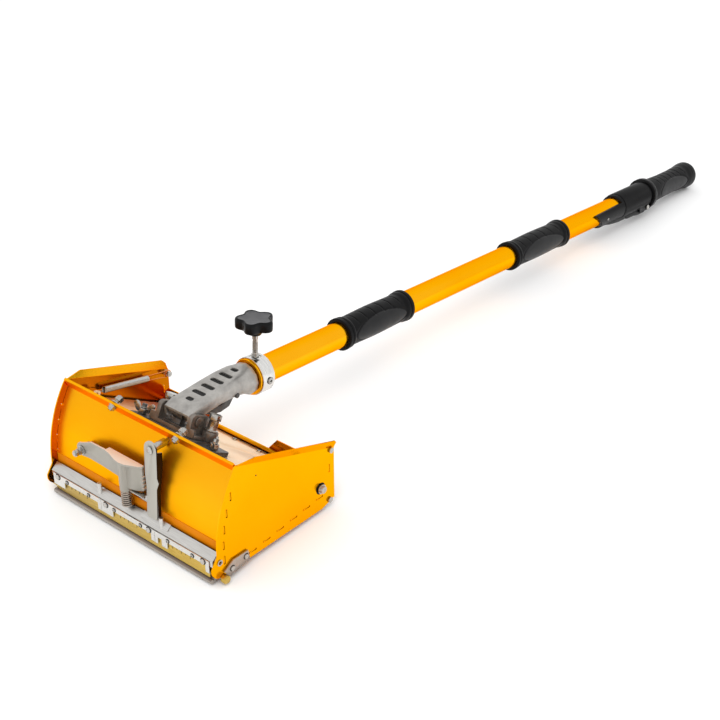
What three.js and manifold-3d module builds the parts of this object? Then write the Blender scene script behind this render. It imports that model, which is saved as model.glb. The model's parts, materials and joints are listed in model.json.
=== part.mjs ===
// Drywall flat finishing box on an extendable, braked handle.
// Millimetres, +Z up, +Y from the blade towards the handle's end, +X across the box.
//
// The box is drawn level, with y = 0 at the side plates' rear edge and z = 0 at their bottom edge.
// Everything is then tipped by restTilt, so that the tool stands on its wheels and its end grip.

import * as THREE from 'three';
import { mergeVertices } from 'three/addons/utils/BufferGeometryUtils.js';
import Module from 'manifold-3d';

const wasm = await Module();
wasm.setup();

// ---------- driving dimensions ----------

const gap = 0.3; // clearance between neighbouring pieces

// box
const halfWidth = 132; // to the side plates' outer faces
const sheet = 1.6; // gold sheet thickness
const innerHalf = halfWidth - sheet; // side plates' inner faces
const cavityHalf = innerHalf - gap; // what fits between them
const hinge = { y: -22.3, z: 28 }; // lid axle
const plateRadius = 154.3; // side plates' front edge, about the axle
const frontRadius = 146; // front plate's outer face, about the axle
const topRear = { y: 0, z: 71.3 };
const topFront = { y: -145.5, z: 120.4 };
const lip = { bendZ: 110.5, lean: THREE.MathUtils.degToRad(25), height: 12.3, hem: 3 };
const floorSlope = 0.0995; // bottom plate rises to the rear
const floorAtZero = 19.2; // bottom plate's mid-height, continued to y = 0
const floorFrontY = -150;
const rearWallY = -8;
const earInner = 38;
const earTop = 50;
const rearWallTop = 31.5;

// wheels
const wheel = { y: -8, z: 6, radius: 11.2, inner: 107, outer: 119 };

// blade end
const holderHalf = 128;
const holderFrontY = -180.2;
const guardHalf = 126;

// lid, tilted up about the axle
const lidTilt = THREE.MathUtils.degToRad(29);
const lidHalf = 125;
const lidTop = 7.1;
const lidThickness = 1.8;
const lidFront = -137;
const sealReach = 143.6;

// handle mount on the lid, in the lid's tilted frame
const basePlateTop = 11.8;
const studX = 55.6;
const studY = -100;
const yokeFloor = { bottom: 14.5, top: 18.5 };
const earGap = 21;
const earThickness = 5.8;
const hexBolt = { x: 34.5, y: -87 };
const pivotInLid = { y: -101.5, z: 31.5 };
const pinRadius = 4;

// handle, in its own frame: y along the tube from above y = 0
const handleDrop = Math.atan(0.0603);
const handleHeight = 106;
const tubeRadius = 16.05;
const tubeBore = 14.5;
const innerTubeRadius = 14.1;
const innerTubeBore = 12.3;
const ring = { front: 4.6, rear: 7, radius: 21.4 };
const collar = { front: 7.4, rear: 25.5, radius: 22.6 };
const knob = { y: 16.5, radius: 22.6, lobes: 5, bottom: 60, top: 70 };
const grips = { front_grip: [160, 285], rear_grip: [522.5, 657.5] };
const housing = { nose: 735, front: 824, rear: 910, radius: 20.6, flangeRear: 917.5, flangeRadius: 25 };
const housingRoll = THREE.MathUtils.degToRad(-12); // turned on the tube, lever towards +X
const trigger = { y: 902, z: -18.5 };
const endGrip = { front: 918, rear: 1063, radius: 21.6 };

// crown adjuster
const crownPivot = { x: -72, z: 68.5 };
const crownFrontY = -176;
const crownSpring = { x: -3.5, y: -176, radius: 6.2, wire: 1.4, bottom: 29, top: 48.4, turns: 7 };
const latchTop = { x: 32, y: -166.5, z: 108.3 };
const latchTilt = Math.atan(10 / 84);

// ---------- materials ----------

const finish = (color, roughness, metalness) =>
  () => new THREE.MeshStandardMaterial({ color, roughness, metalness });

const goldAnodised = finish(0xf5a914, 0.25, 0.9);
const satinAluminium = finish(0xc9cbcc, 0.4, 0.9);
const greyPaint = finish(0xb5b6b2, 0.5, 0.3);
const zincPlate = finish(0xd0d0cc, 0.25, 1);
const castGrey = finish(0x8e8f8e, 0.5, 0.7);
const darkCast = finish(0x5c5b59, 0.55, 0.6);
const springSteel = finish(0xb9bab8, 0.3, 1);
const brass = finish(0xc9aa5a, 0.35, 0.9);
const blackRubber = finish(0x202123, 0.8, 0);
const blackPlastic = finish(0x1a1b1d, 0.5, 0);

// ---------- solids ----------

function toManifold(geometry) {
  const bare = geometry.index ? geometry.clone() : geometry;
  bare.deleteAttribute('normal');
  bare.deleteAttribute('uv');
  const merged = mergeVertices(bare, 1e-4);
  return new wasm.Manifold(new wasm.Mesh({
    numProp: 3,
    vertProperties: new Float32Array(merged.attributes.position.array),
    triVerts: new Uint32Array(merged.index.array),
  }));
}

function toGeometry(solid) {
  const { vertProperties, triVerts } = solid.getMesh();
  const geometry = new THREE.BufferGeometry();
  geometry.setAttribute('position', new THREE.BufferAttribute(new Float32Array(vertProperties), 3));
  geometry.setIndex(new THREE.BufferAttribute(new Uint32Array(triVerts), 1));
  geometry.computeVertexNormals();
  return geometry;
}

const join = (...solids) => solids.reduce((whole, next) => whole.add(next));
const cut = (solid, ...tools) => tools.reduce((rest, tool) => rest.subtract(tool), solid);

// Axis changes that keep handedness: a profile drawn in (a, b) and extruded along c.
const alongX = new THREE.Matrix4().makeBasis(
  new THREE.Vector3(0, 1, 0), new THREE.Vector3(0, 0, 1), new THREE.Vector3(1, 0, 0));
const alongY = new THREE.Matrix4().makeBasis(
  new THREE.Vector3(0, 0, 1), new THREE.Vector3(1, 0, 0), new THREE.Vector3(0, 1, 0));

const cornerSteps = 2; // half the facets of a rounded corner

function extruded(shape, depth) {
  return new THREE.ExtrudeGeometry(shape, { depth, bevelEnabled: false, curveSegments: cornerSteps });
}

// A shape drawn in (y, z) and extruded from x0 to x1.
function prismX(shape, x0, x1) {
  const geometry = extruded(shape, x1 - x0);
  geometry.translate(0, 0, x0);
  return toManifold(geometry.applyMatrix4(alongX));
}

// A shape drawn in (z, x) and extruded from y0 to y1.
function prismY(shape, y0, y1) {
  const geometry = extruded(shape, y1 - y0);
  geometry.translate(0, 0, y0);
  return toManifold(geometry.applyMatrix4(alongY));
}

// A shape drawn in (x, y) and extruded from z0 to z1.
function prismZ(shape, z0, z1) {
  return toManifold(extruded(shape, z1 - z0).translate(0, 0, z0));
}

function block(x0, x1, y0, y1, z0, z1) {
  const geometry = new THREE.BoxGeometry(x1 - x0, y1 - y0, z1 - z0);
  return toManifold(geometry.translate((x0 + x1) / 2, (y0 + y1) / 2, (z0 + z1) / 2));
}

// A cylinder between two heights of its own axis: 'x', 'y' or 'z', centred at [a, b] of the other two.
function rod(axis, from, to, radius, centre = [0, 0], sides = 16) {
  const geometry = new THREE.CylinderGeometry(radius, radius, to - from, sides);
  geometry.translate(0, (from + to) / 2, 0);
  const [a, b] = centre;
  if (axis === 'x') {
    geometry.rotateZ(-Math.PI / 2).translate(0, a, b);
  } else if (axis === 'y') {
    geometry.translate(a, 0, b);
  } else {
    geometry.rotateX(Math.PI / 2).translate(a, b, 0);
  }
  return toManifold(geometry);
}

function tube(axis, from, to, outer, inner, centre = [0, 0], sides = 20) {
  return cut(rod(axis, from, to, outer, centre, sides), rod(axis, from - 1, to + 1, inner, centre, sides));
}

// A body of revolution about +Y, from a closed list of [radius, y].
function turned(profile, sides = 24) {
  const points = profile.map(([radius, y]) => new THREE.Vector2(radius, y));
  points.push(points[0].clone());
  return toManifold(new THREE.LatheGeometry(points, sides));
}

function polygon(points) {
  return new THREE.Shape(points.map(([a, b]) => new THREE.Vector2(a, b)));
}

function roundedRectangle(a0, a1, b0, b1, radius) {
  const shape = new THREE.Shape();
  shape.absarc(a1 - radius, b1 - radius, radius, 0, Math.PI / 2, false);
  shape.absarc(a0 + radius, b1 - radius, radius, Math.PI / 2, Math.PI, false);
  shape.absarc(a0 + radius, b0 + radius, radius, Math.PI, 1.5 * Math.PI, false);
  shape.absarc(a1 - radius, b0 + radius, radius, 1.5 * Math.PI, 2 * Math.PI, false);
  return shape;
}

// Points on a circle, from one angle to another, both included.
function arcPoints(centre, radius, from, to, steps) {
  return Array.from({ length: steps + 1 }, (_, i) => {
    const angle = from + ((to - from) * i) / steps;
    return [centre[0] + radius * Math.cos(angle), centre[1] + radius * Math.sin(angle)];
  });
}

// Skin through rings of points, closed at both ends.
function loft(rings) {
  const sides = rings[0].length;
  const corners = rings.flat();
  const positions = [];
  const face = (...ids) => ids.forEach((id) => positions.push(...corners[id]));
  for (let ring = 0; ring + 1 < rings.length; ring += 1) {
    for (let side = 0; side < sides; side += 1) {
      const a = ring * sides + side;
      const b = ring * sides + ((side + 1) % sides);
      face(a, b + sides, b);
      face(a, a + sides, b + sides);
    }
  }
  const last = (rings.length - 1) * sides;
  for (let side = 1; side + 1 < sides; side += 1) {
    face(0, side, side + 1);
    face(last, last + side + 1, last + side);
  }
  const geometry = new THREE.BufferGeometry();
  geometry.setAttribute('position', new THREE.BufferAttribute(new Float32Array(positions), 3));
  return toManifold(geometry);
}

// A round wire through the points, as one closed solid.
function wire(points, radius, steps, sides = 6) {
  const curve = new THREE.CatmullRomCurve3(points.map((point) => new THREE.Vector3(...point)));
  const section = new THREE.Shape();
  section.absarc(0, 0, radius, 0, 2 * Math.PI, false);
  return toManifold(new THREE.ExtrudeGeometry(section, {
    extrudePath: curve, steps, curveSegments: sides / 2,
  }));
}

// ---------- assembly frames ----------

const wheelBottom = wheel.z - wheel.radius;
const endGripY = endGrip.rear - 7;
const endGripBottom = handleHeight
  - endGripY * Math.sin(handleDrop) - endGrip.radius * Math.cos(handleDrop);
const restTilt = Math.atan2(endGripBottom - wheelBottom, endGripY - wheel.y);

const tool = new THREE.Group();
const level = new THREE.Group();
level.rotation.x = -restTilt;
tool.add(level);

const lidFrame = new THREE.Group();
lidFrame.position.set(0, hinge.y, hinge.z);
lidFrame.rotation.x = -lidTilt;
level.add(lidFrame);

const handleFrame = new THREE.Group();
handleFrame.position.set(0, 0, handleHeight);
handleFrame.rotation.x = -handleDrop;
level.add(handleFrame);

const triggerFrame = new THREE.Group();
triggerFrame.rotation.y = housingRoll;
handleFrame.add(triggerFrame);

const latchFrame = new THREE.Group();
latchFrame.position.set(latchTop.x, latchTop.y, latchTop.z);
latchFrame.rotation.set(-latchTilt, THREE.MathUtils.degToRad(-3.5), 0);
level.add(latchFrame);

function place(name, solid, material, frame = level) {
  const mesh = new THREE.Mesh(toGeometry(solid), material());
  mesh.name = name;
  frame.add(mesh);
}

const sides = [['left', -1], ['right', 1]];
const postCentre = [-5.5, 69.2];
const mirrored = (solid, side) => (side < 0 ? solid.mirror([1, 0, 0]) : solid);

// ---------- box shell ----------

const hingePoint = [hinge.y, hinge.z];
const topSlope = (topFront.z - topRear.z) / (topFront.y - topRear.y);
const flangeLean = 0.55; // outward run of the top flange for each unit of its height
const topLineZ = (y) => topRear.z + topSlope * (y - topRear.y);
const floorZ = (y) => floorAtZero + floorSlope * y;

function sidePlate() {
  const lobe = [-172.5, 12];
  const edgeTop = Math.atan2(topFront.z - hinge.z, topFront.y - hinge.y);
  const outline = polygon([
    [topRear.y, 5.8],
    [topRear.y, topRear.z],
    [topFront.y, topFront.z],
    ...arcPoints(hingePoint, plateRadius, edgeTop + 0.03, Math.PI + 0.01, 10),
    ...arcPoints(lobe, 12.5, Math.PI - 0.2, 1.5 * Math.PI, 6),
    [-163, 0],
    [-20, 0],
  ]);
  let plate = prismX(outline, innerHalf, halfWidth);
  const flange = prismX(polygon([
    [topRear.y, topRear.z - 1], [topRear.y, topRear.z + 6.5], [topRear.y - 3.5, topRear.z + 10.5],
    [-121, topLineZ(-121) + 7.8], [-145, topLineZ(-145) - 1],
  ]), innerHalf, halfWidth);
  plate = join(plate, flange.warp((point) => {
    const height = Math.max(0, point[2] - topLineZ(point[1]));
    point[0] += height * flangeLean;
  }));
  const bottomSlots = Array.from({ length: 6 }, (_, i) => {
    const y = -127.5 + 20.6 * i;
    return block(innerHalf - 1, halfWidth + 1, y - 5.5, y + 5.5, floorZ(y) - 1, floorZ(y) + 1);
  });
  const frontSlots = Array.from({ length: 5 }, (_, i) => {
    const angle = Math.PI - 0.43 + 0.125 * i;
    const y = hinge.y + (frontRadius - 0.8) * Math.cos(angle);
    const z = hinge.z + (frontRadius - 0.8) * Math.sin(angle);
    return block(innerHalf - 1, halfWidth + 1, y - 1.1, y + 1.1, z - 5, z + 5);
  });
  const frontBushHole = rod('x', innerHalf - 1, halfWidth + 1, 2.4, [-174, 18.6], 12);
  return cut(plate, rod('x', innerHalf - 1, halfWidth + 1, 7.1, hingePoint),
    block(innerHalf - 1, halfWidth + 1, rearWallY - 1, rearWallY + 1, 42, 52),
    rod('x', innerHalf - 1, halfWidth + 1, 1.8, [wheel.y, wheel.z], 12),
    rod('x', innerHalf - 1, halfWidth + 1, 2.6, postCentre, 12),
    frontBushHole, ...bottomSlots, ...frontSlots);
}

// The stop bolts' frame: origin on the lip's outer face, y straight through the lip to the rear.
const lipFoot = {
  y: hinge.y - Math.sqrt(frontRadius ** 2 - (lip.bendZ - hinge.z) ** 2),
  z: lip.bendZ,
};
const onLip = (up, deep) => [
  lipFoot.y - up * Math.sin(lip.lean) + deep * Math.cos(lip.lean),
  lipFoot.z + up * Math.cos(lip.lean) + deep * Math.sin(lip.lean),
];
const stopHeight = 8.8;

function throughLip(solid) {
  const [y, z] = onLip(stopHeight, 0);
  return solid.rotate([THREE.MathUtils.radToDeg(lip.lean), 0, 0]).translate([0, y, z]);
}

function frontPlate() {
  const bottomAngle = Math.PI + Math.asin((hinge.z - 5.5) / frontRadius);
  const topAngle = Math.PI - Math.asin((lip.bendZ - hinge.z) / frontRadius);
  const outer = arcPoints(hingePoint, frontRadius, topAngle, bottomAngle, 14);
  const inner = arcPoints(hingePoint, frontRadius - sheet, bottomAngle, topAngle + 0.004, 14);
  const hemFoot = lip.height - 4;
  const edge = [
    onLip(1, sheet), onLip(hemFoot, sheet), onLip(hemFoot + 0.5, lip.hem),
    onLip(lip.height, lip.hem), onLip(lip.height, 0),
  ];
  const plate = prismX(polygon([...outer, ...inner, ...edge]), -cavityHalf, cavityHalf);
  const stopHoles = sides.map(([, side]) => throughLip(rod('y', -3, 6, 2.9, [side * 49.5, 0], 12)));
  const rivetHole = rod('y', -170, -135, 2.9, [latchTop.x, latchTop.z], 12);
  const pivotHole = rod('y', -175, -155, 3.3, [crownPivot.x, crownPivot.z], 12);
  const tabHole = rod('y', -175, -155, 2.3, [16.5, 44], 10);
  return cut(plate, ...stopHoles, rivetHole, pivotHole, tabHole);
}

function bottomPlate() {
  const front = floorFrontY;
  const rear = rearWallY - 0.4;
  const half = sheet / 2;
  return prismX(polygon([
    [front, floorZ(front) - half], [rear, floorZ(rear) - half],
    [rear, floorZ(rear) + half], [front, floorZ(front) + half],
  ]), -cavityHalf, cavityHalf);
}

function rearWall() {
  const bottom = floorZ(rearWallY) - 0.8;
  const outline = [
    [bottom, -cavityHalf], [earTop - 6, -cavityHalf], [earTop, -cavityHalf + 6], [earTop, -earInner - 16],
    [rearWallTop, -earInner], [rearWallTop, earInner],
    [earTop, earInner + 16], [earTop, cavityHalf - 6], [earTop - 6, cavityHalf], [bottom, cavityHalf],
  ];
  return prismY(polygon(outline), rearWallY, rearWallY + sheet);
}

sides.forEach(([label, side]) => place(`${label}_side_plate`, mirrored(sidePlate(), side), goldAnodised));
place('front_plate', frontPlate(), goldAnodised);
place('bottom_plate', bottomPlate(), goldAnodised);
place('rear_wall', rearWall(), goldAnodised);

// ---------- lid axle, bushes, wheels, posts ----------

place('lid_axle', rod('x', -137.5, 137.5, 4, hingePoint), zincPlate);
sides.forEach(([label, side]) => {
  const bush = cut(
    join(rod('x', innerHalf - 1.8, halfWidth + 0.4, 6.8, hingePoint),
      rod('x', innerHalf - 1.8, innerHalf - gap, 8.5, hingePoint)),
    rod('x', 120, 140, 4.3, hingePoint));
  place(`${label}_axle_bush`, mirrored(bush, side), blackPlastic);

  const rim = turned([
    [3.4, wheel.inner], [8, wheel.inner], [wheel.radius, wheel.inner + 1.5],
    [wheel.radius, wheel.outer - 1.5], [8, wheel.outer], [3.4, wheel.outer],
  ]).rotate([0, 0, -90]).translate([0, wheel.y, wheel.z]);
  place(`${label}_wheel`, mirrored(rim, side), blackPlastic);

  const post = join(
    rod('x', 122, halfWidth + 1, 2.2, postCentre, 12),
    rod('x', halfWidth + gap, halfWidth + 2.2, 3.3, postCentre, 12),
    rod('x', innerHalf - 3.4, innerHalf - gap, 4, postCentre, 6),
    rod('x', 121, 122.4, 3.4, postCentre, 12));
  place(`${label}_spring_post`, mirrored(post, side), zincPlate);
});

const wheelCentre = [wheel.y, wheel.z];
place('wheel_axle', join(
  rod('x', -cavityHalf, cavityHalf, 3, wheelCentre, 16),
  rod('x', -halfWidth - 1, halfWidth + 1, 1.5, wheelCentre, 12),
  ...sides.flatMap(([, side]) => [
    mirrored(rod('x', halfWidth + gap, halfWidth + 2.2, 3.4, wheelCentre, 16), side),
    mirrored(rod('x', wheel.inner - 1.6, wheel.inner - 0.4, 4.6, wheelCentre, 16), side),
  ])), zincPlate);

// ---------- skid plates and runners ----------

sides.forEach(([label, side]) => {
  const face = halfWidth + gap;
  const skid = join(
    prismX(polygon([[-136, 13.5], [-157, 13.6], [-170.5, 5.4], [-163, -3.5], [-134, 1.9]]), face, face + 2),
    ...[[-139.6, 7.8], [-159.4, 4.4]].map((spot) => rod('x', face + 1, face + 3.4, 2.7, spot, 12)));
  place(`${label}_skid_plate`, mirrored(skid, side), zincPlate);

  const runner = join(
    rod('x', face, face + 5.4, 4.6, [-170.6, -2.4], 20),
    rod('x', face + 5, face + 6.4, 3.8, [-170.6, -2.4], 20));
  place(`${label}_runner`, mirrored(runner, side), brass);
});

// ---------- blade end ----------

function bladeHolder() {
  const backY = -171.3;
  const profile = polygon([
    [holderFrontY, 13.6], [holderFrontY, 20.7], [backY - 0.6, 28], [backY, 27], [backY, 1.5],
    [-177.2, 1.5], [-177.2, 3.1], [backY - 1.6, 3.1], [backY - 1.6, 22], [-178.6, 19.2], [-178.6, 13.6],
  ]);
  const channel = prismX(profile, -holderHalf, holderHalf);
  const bosses = sides.map(([, side]) => rod('z', 21, 36, 2.6, [side * 49, -176], 12));
  const coverScrews = [115.7, 34.3, -34.3, -115.7]
    .map((x) => rod('y', holderFrontY - 3.2, holderFrontY + 1, 2.9, [x, 17], 12));
  return join(channel, ...bosses, ...coverScrews);
}

function clipPlate(x0, x1, screws) {
  const plateBack = holderFrontY - gap;
  const body = block(x0, x1, plateBack - 1.2, plateBack, 5.4, 20);
  const window = block(x0 + 19, x1 - 5.5, plateBack - 2, plateBack + 1, 6.8, 13.6);
  const holes = screws.map((x) => rod('y', plateBack - 3, plateBack + 2, 3.3, [x, 17], 12));
  return cut(body, window, ...holes);
}

place('blade_holder', bladeHolder(), satinAluminium);
const clips = [
  ['left_clip_plate', -124, -43, [-115.7]],
  ['middle_clip_plate', -42.6, 42.6, [-34.3, 34.3]],
  ['right_clip_plate', 43, 124, [115.7]],
];
clips.forEach(([name, x0, x1, screws]) => place(name, clipPlate(x0, x1, screws), zincPlate));
place('brass_strip', block(-123, 123, -180.1, -178.9, -1, 13.2), brass);
place('blade', block(-122, 122, -178.5, -177.8, -3.2, 12.6), springSteel);

function guardBar() {
  const bar = prismX(polygon([
    ...arcPoints([-180, -5.2], 2.7, 0.5 * Math.PI, 1.5 * Math.PI, 6),
    [-175.6, -7.9], [-174.4, -6.6], [-174.4, -2.5],
    [-177.3, -2.5], [-177.3, -4], [-179, -4], [-179, -2.5],
  ]), -guardHalf, guardHalf);
  return bar;
}
place('blade_guard', guardBar(), satinAluminium);

// ---------- lid stops ----------

sides.forEach(([label, side]) => {
  const spot = [side * 49.5, 0];
  const stop = join(
    rod('y', -5.6, 13.6, 2.5, spot, 12),
    rod('y', -4.2, -0.9, 4.3, spot, 6),
    rod('y', -1.2, -gap, 4.8, spot, 14),
    rod('y', lip.hem + gap, lip.hem + 1.4, 5.4, spot, 14),
    rod('y', 7.4, 12.2, 4.6, spot, 6));
  place(`${label}_stop_bolt`, throughLip(stop), zincPlate);
});

// ---------- crown adjuster ----------

function crownLever() {
  const { x, z } = crownPivot;
  const arm = polygon([
    ...arcPoints([z, x], 9, Math.PI * 1.15, Math.PI * 2.0, 6),
    [84.6, -56], [84.9, -33], [84.9, -9], [59.6, -10], [62, -40], [62.5, -62],
  ]);
  const plate = prismY(arm, crownFrontY, crownFrontY + 1.8);
  const body = prismZ(polygon([
    [-33, -169.5], [-33, crownFrontY], [-24, crownFrontY - 1.6], [-12, crownFrontY - 5.4],
    [-4, crownFrontY - 6.6], [4, crownFrontY - 5.4], [12, crownFrontY - 1.6], [18, crownFrontY + 0.8],
    [21.4, crownFrontY + 4], [21.4, -169.5],
  ]), 82.4, 84.9);
  const blockBelow = prismZ(polygon([
    [1, -169.5], [-8, crownFrontY], [4, crownFrontY - 2.6], [12, crownFrontY - 0.8],
    [17, crownFrontY + 1.6], [20.4, crownFrontY + 4.2], [20.4, -169.5],
  ]), 54, 83);
  const teeth = Array.from({ length: 4 }, (_, i) =>
    block(19, 21.8, -173, -169.5, 55.4 + 4.8 * i, 57.8 + 4.8 * i));
  const seat = rod('z', 48.9, 83.5, 6.6, [crownSpring.x, crownSpring.y], 24);
  const hollow = block(5, 16.4, crownFrontY + 3.4, -168, 53, 80.5);
  return cut(join(plate, body, blockBelow, seat, ...teeth),
    hollow,
    rod('y', -190, -160, 3.4, [x, z], 14));
}
place('crown_lever', crownLever(), greyPaint);
const crownPivotSpot = [crownPivot.x, crownPivot.z];
place('crown_pivot_bolt', join(
  rod('y', -187.5, -161.7, 2.6, crownPivotSpot, 14),
  rod('y', -186.2, -182.8, 4, crownPivotSpot, 6),
  rod('y', -181.8, -178, 4.4, crownPivotSpot, 6),
  rod('y', -177.9, -176.3, 5.2, crownPivotSpot, 16),
  rod('y', -173.8, -165, 5.2, crownPivotSpot, 14)), zincPlate);

function springPoints({ x, y, radius, wire: thickness, bottom, top, turns }) {
  const perTurn = 6;
  const count = turns * perTurn;
  const reach = radius - thickness / 2;
  return Array.from({ length: count + 1 }, (_, i) => {
    const angle = (2 * Math.PI * i) / perTurn;
    const height = bottom + thickness + ((top - bottom - 2 * thickness) * i) / count;
    return [x + reach * Math.cos(angle), y + reach * Math.sin(angle), height];
  });
}
const springPath = springPoints(crownSpring);
place('crown_spring', wire(springPath, crownSpring.wire / 2, crownSpring.turns * 6, 6), springSteel);

function latchLever() {
  const strip = polygon([
    ...arcPoints([0, 0], 9.2, -0.5 * Math.PI, 0.5 * Math.PI, 8),
    [-30, 9.2], [-35, 11.6], [-43, 8.4], [-77, 7.8], [-79, 5.5],
    [-79, -5.5], [-77, -7.8], [-43, -7.4], [-30, -9],
  ]);
  const web = prismY(strip, -1.6, 0);
  const edge = polygon([
    [-0.4, -2], [7.4, -4], [7.4, -18], [5.6, -35], [3.6, -50], [3.6, -75], [-0.4, -75],
  ]);
  const flanges = [8.2, -6.2].map((x) => prismX(edge, x - 1.4, x));
  return cut(join(web, ...flanges), rod('y', -5, 5, 3.1, [0, 0], 12));
}
place('latch_lever', latchLever(), greyPaint, latchFrame);

const rivetCentre = [latchTop.x, latchTop.z];
place('latch_rivet', join(
  rod('y', latchTop.y - 3.4, -142.7, 2.6, rivetCentre, 12),
  rod('y', latchTop.y - 3.4, latchTop.y - 2.3, 4.6, rivetCentre, 12),
  rod('y', latchTop.y + 1.4, -147.6, 4.2, rivetCentre, 12)), zincPlate);

place('crown_stop_tab', join(
  block(6, 24.6, -178.6, -168, 50.6, 52),
  block(8, 22, -169.8, -168.2, 39.5, 52),
  rod('y', -171.6, -166.2, 2, [16.5, 44], 10)), zincPlate);

// ---------- lid, in its tilted frame ----------

const lugHole = [-112, 11.4];

function lidPlate() {
  const plate = block(-lidHalf, lidHalf, lidFront, 8, lidTop - lidThickness, lidTop);
  const lugs = sides.map(([, side]) => {
    const lug = cut(
      prismX(roundedRectangle(-117, -107, lidTop - 0.5, 15.6, 3), 118.4, 120),
      rod('x', 116, 126, 2, lugHole, 12));
    return mirrored(lug, side);
  });
  const screws = [-77, -38.5, 0, 38.5, 77].map((x) =>
    rod('z', lidTop - 0.5, lidTop + 1.2, 3, [x, -2.4], 12));
  const frontRib = block(-lidHalf, lidHalf, lidFront, lidFront + 1.8, 1, lidTop - 0.5);
  return cut(join(plate, frontRib, ...lugs, ...screws),
    ...sides.map(([, side]) => rod('z', 0, 20, 3.4, [side * studX, studY], 12)));
}

function lidSeal() {
  const y1 = lidFront - gap;
  const [z0, z1] = [0.6, lidTop];
  const front = prismX(polygon([
    [y1, z0], [y1, z1], [-Math.sqrt(sealReach ** 2 - z1 ** 2), z1], [-sealReach, z0],
  ]), -129.8, 129.8);
  const edges = sides.map(([, side]) =>
    mirrored(block(lidHalf + gap, 129.8, y1 - 1, -9.2, z0, z1), side));
  return join(front, ...edges);
}

place('lid', lidPlate(), satinAluminium, lidFrame);
place('lid_seal', lidSeal(), blackRubber, lidFrame);
place('hinge_tube', tube('x', -124.8, 124.8, 5, 4.3), satinAluminium, lidFrame);

// ---------- handle mount on the lid ----------

function basePlate() {
  const plate = prismZ(roundedRectangle(-65, 65, -117, -82, 5), lidTop + gap, basePlateTop);
  const rise = prismZ(roundedRectangle(-40, 40, -114, -78, 8), basePlateTop - 0.5, yokeFloor.bottom - gap);
  const studs = sides.map(([, side]) => join(
    rod('z', 2, 23.4, 3, [side * studX, studY], 14),
    rod('z', 2, lidTop - lidThickness - gap, 5, [side * studX, studY], 14)));
  return join(plate, rise, ...studs);
}

function wingNut() {
  const hub = tube('z', basePlateTop + gap, basePlateTop + 6.4, 5, 3.3, [0, 0], 16);
  const wings = [-1, 1].map((side) => {
    const lean = side * 36;
    const wing = prismY(roundedRectangle(-1, 11, -3.2, 3.2, 3), -1, 1)
      .rotate([0, lean, 0])
      .translate([side * 4.2, 0, basePlateTop + 3.4]);
    return cut(wing, rod('z', basePlateTop - 2, basePlateTop + 20, 3.3, [0, 0], 16));
  });
  return cut(join(hub, ...wings), block(-20, 20, -20, 20, basePlateTop - 5, basePlateTop + gap));
}

function yoke() {
  const floor = prismZ(roundedRectangle(-36, 36, -112, -79, 6), yokeFloor.bottom, yokeFloor.top);
  const ears = sides.map(([, side]) => mirrored(prismX(
    roundedRectangle(-112, -84, yokeFloor.bottom + 1, 38.6, 5), earGap, earGap + earThickness), side));
  const pads = sides.map(([, side]) =>
    rod('z', yokeFloor.bottom, 25, 8.5, [side * hexBolt.x, hexBolt.y], 20));
  const webs = sides.map(([, side]) => mirrored(
    block(earGap + 1, 34, -112, -109.4, yokeFloor.bottom + 1, 24), side));
  const bolts = sides.map(([, side]) => rod('z', 0, 60, 4.3, [side * hexBolt.x, hexBolt.y], 14));
  return cut(join(floor, ...ears, ...pads, ...webs), ...bolts,
    rod('x', -40, 40, pinRadius + gap, [pivotInLid.y, pivotInLid.z], 16));
}

function hexBoltSolid(side) {
  const spot = [side * hexBolt.x, hexBolt.y];
  return join(
    rod('z', yokeFloor.bottom, 40, 4, spot, 14),
    rod('z', 25.3, 26.8, 7.6, spot, 18),
    rod('z', 26.6, 38, 5.4, spot, 18),
    rod('z', 37.8, 44, 7, spot, 6));
}

function brakeDrum() {
  const centre = [pivotInLid.y, pivotInLid.z];
  const disc = rod('x', -7.5, 7.5, 6.4, centre, 24);
  const stem = block(-6, 6, -106, -97, yokeFloor.top + gap, 26);
  const foot = block(-14, 14, -110, -92, yokeFloor.top + gap, 20.6);
  return cut(join(disc, stem, foot), rod('x', -20, 20, pinRadius + gap, centre, 16));
}

place('base_plate', basePlate(), darkCast, lidFrame);
place('yoke', yoke(), castGrey, lidFrame);
place('brake_drum', brakeDrum(), darkCast, lidFrame);
place('pivot_pin', join(
  rod('x', -28.5, 28.5, pinRadius, [pivotInLid.y, pivotInLid.z], 16),
  ...sides.map(([, side]) => mirrored(
    rod('x', earGap + earThickness + gap, 28.6, 5.6, [pivotInLid.y, pivotInLid.z], 16), side))),
zincPlate, lidFrame);
sides.forEach(([label, side]) => {
  place(`${label}_hex_bolt`, hexBoltSolid(side), zincPlate, lidFrame);
  const nut = wingNut().rotate([0, 0, side < 0 ? 40 : 125]).translate([side * studX, studY, 0]);
  place(`${label}_wing_nut`, nut, zincPlate, lidFrame);
});

// ---------- return springs ----------

const lidPoint = (y, z) => [
  hinge.y + y * Math.cos(lidTilt) + z * Math.sin(lidTilt),
  hinge.z - y * Math.sin(lidTilt) + z * Math.cos(lidTilt),
];
const spring = { x: 124.6, radius: 4.1, bodyStart: 0.13, bodyEnd: 0.71 };

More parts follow.
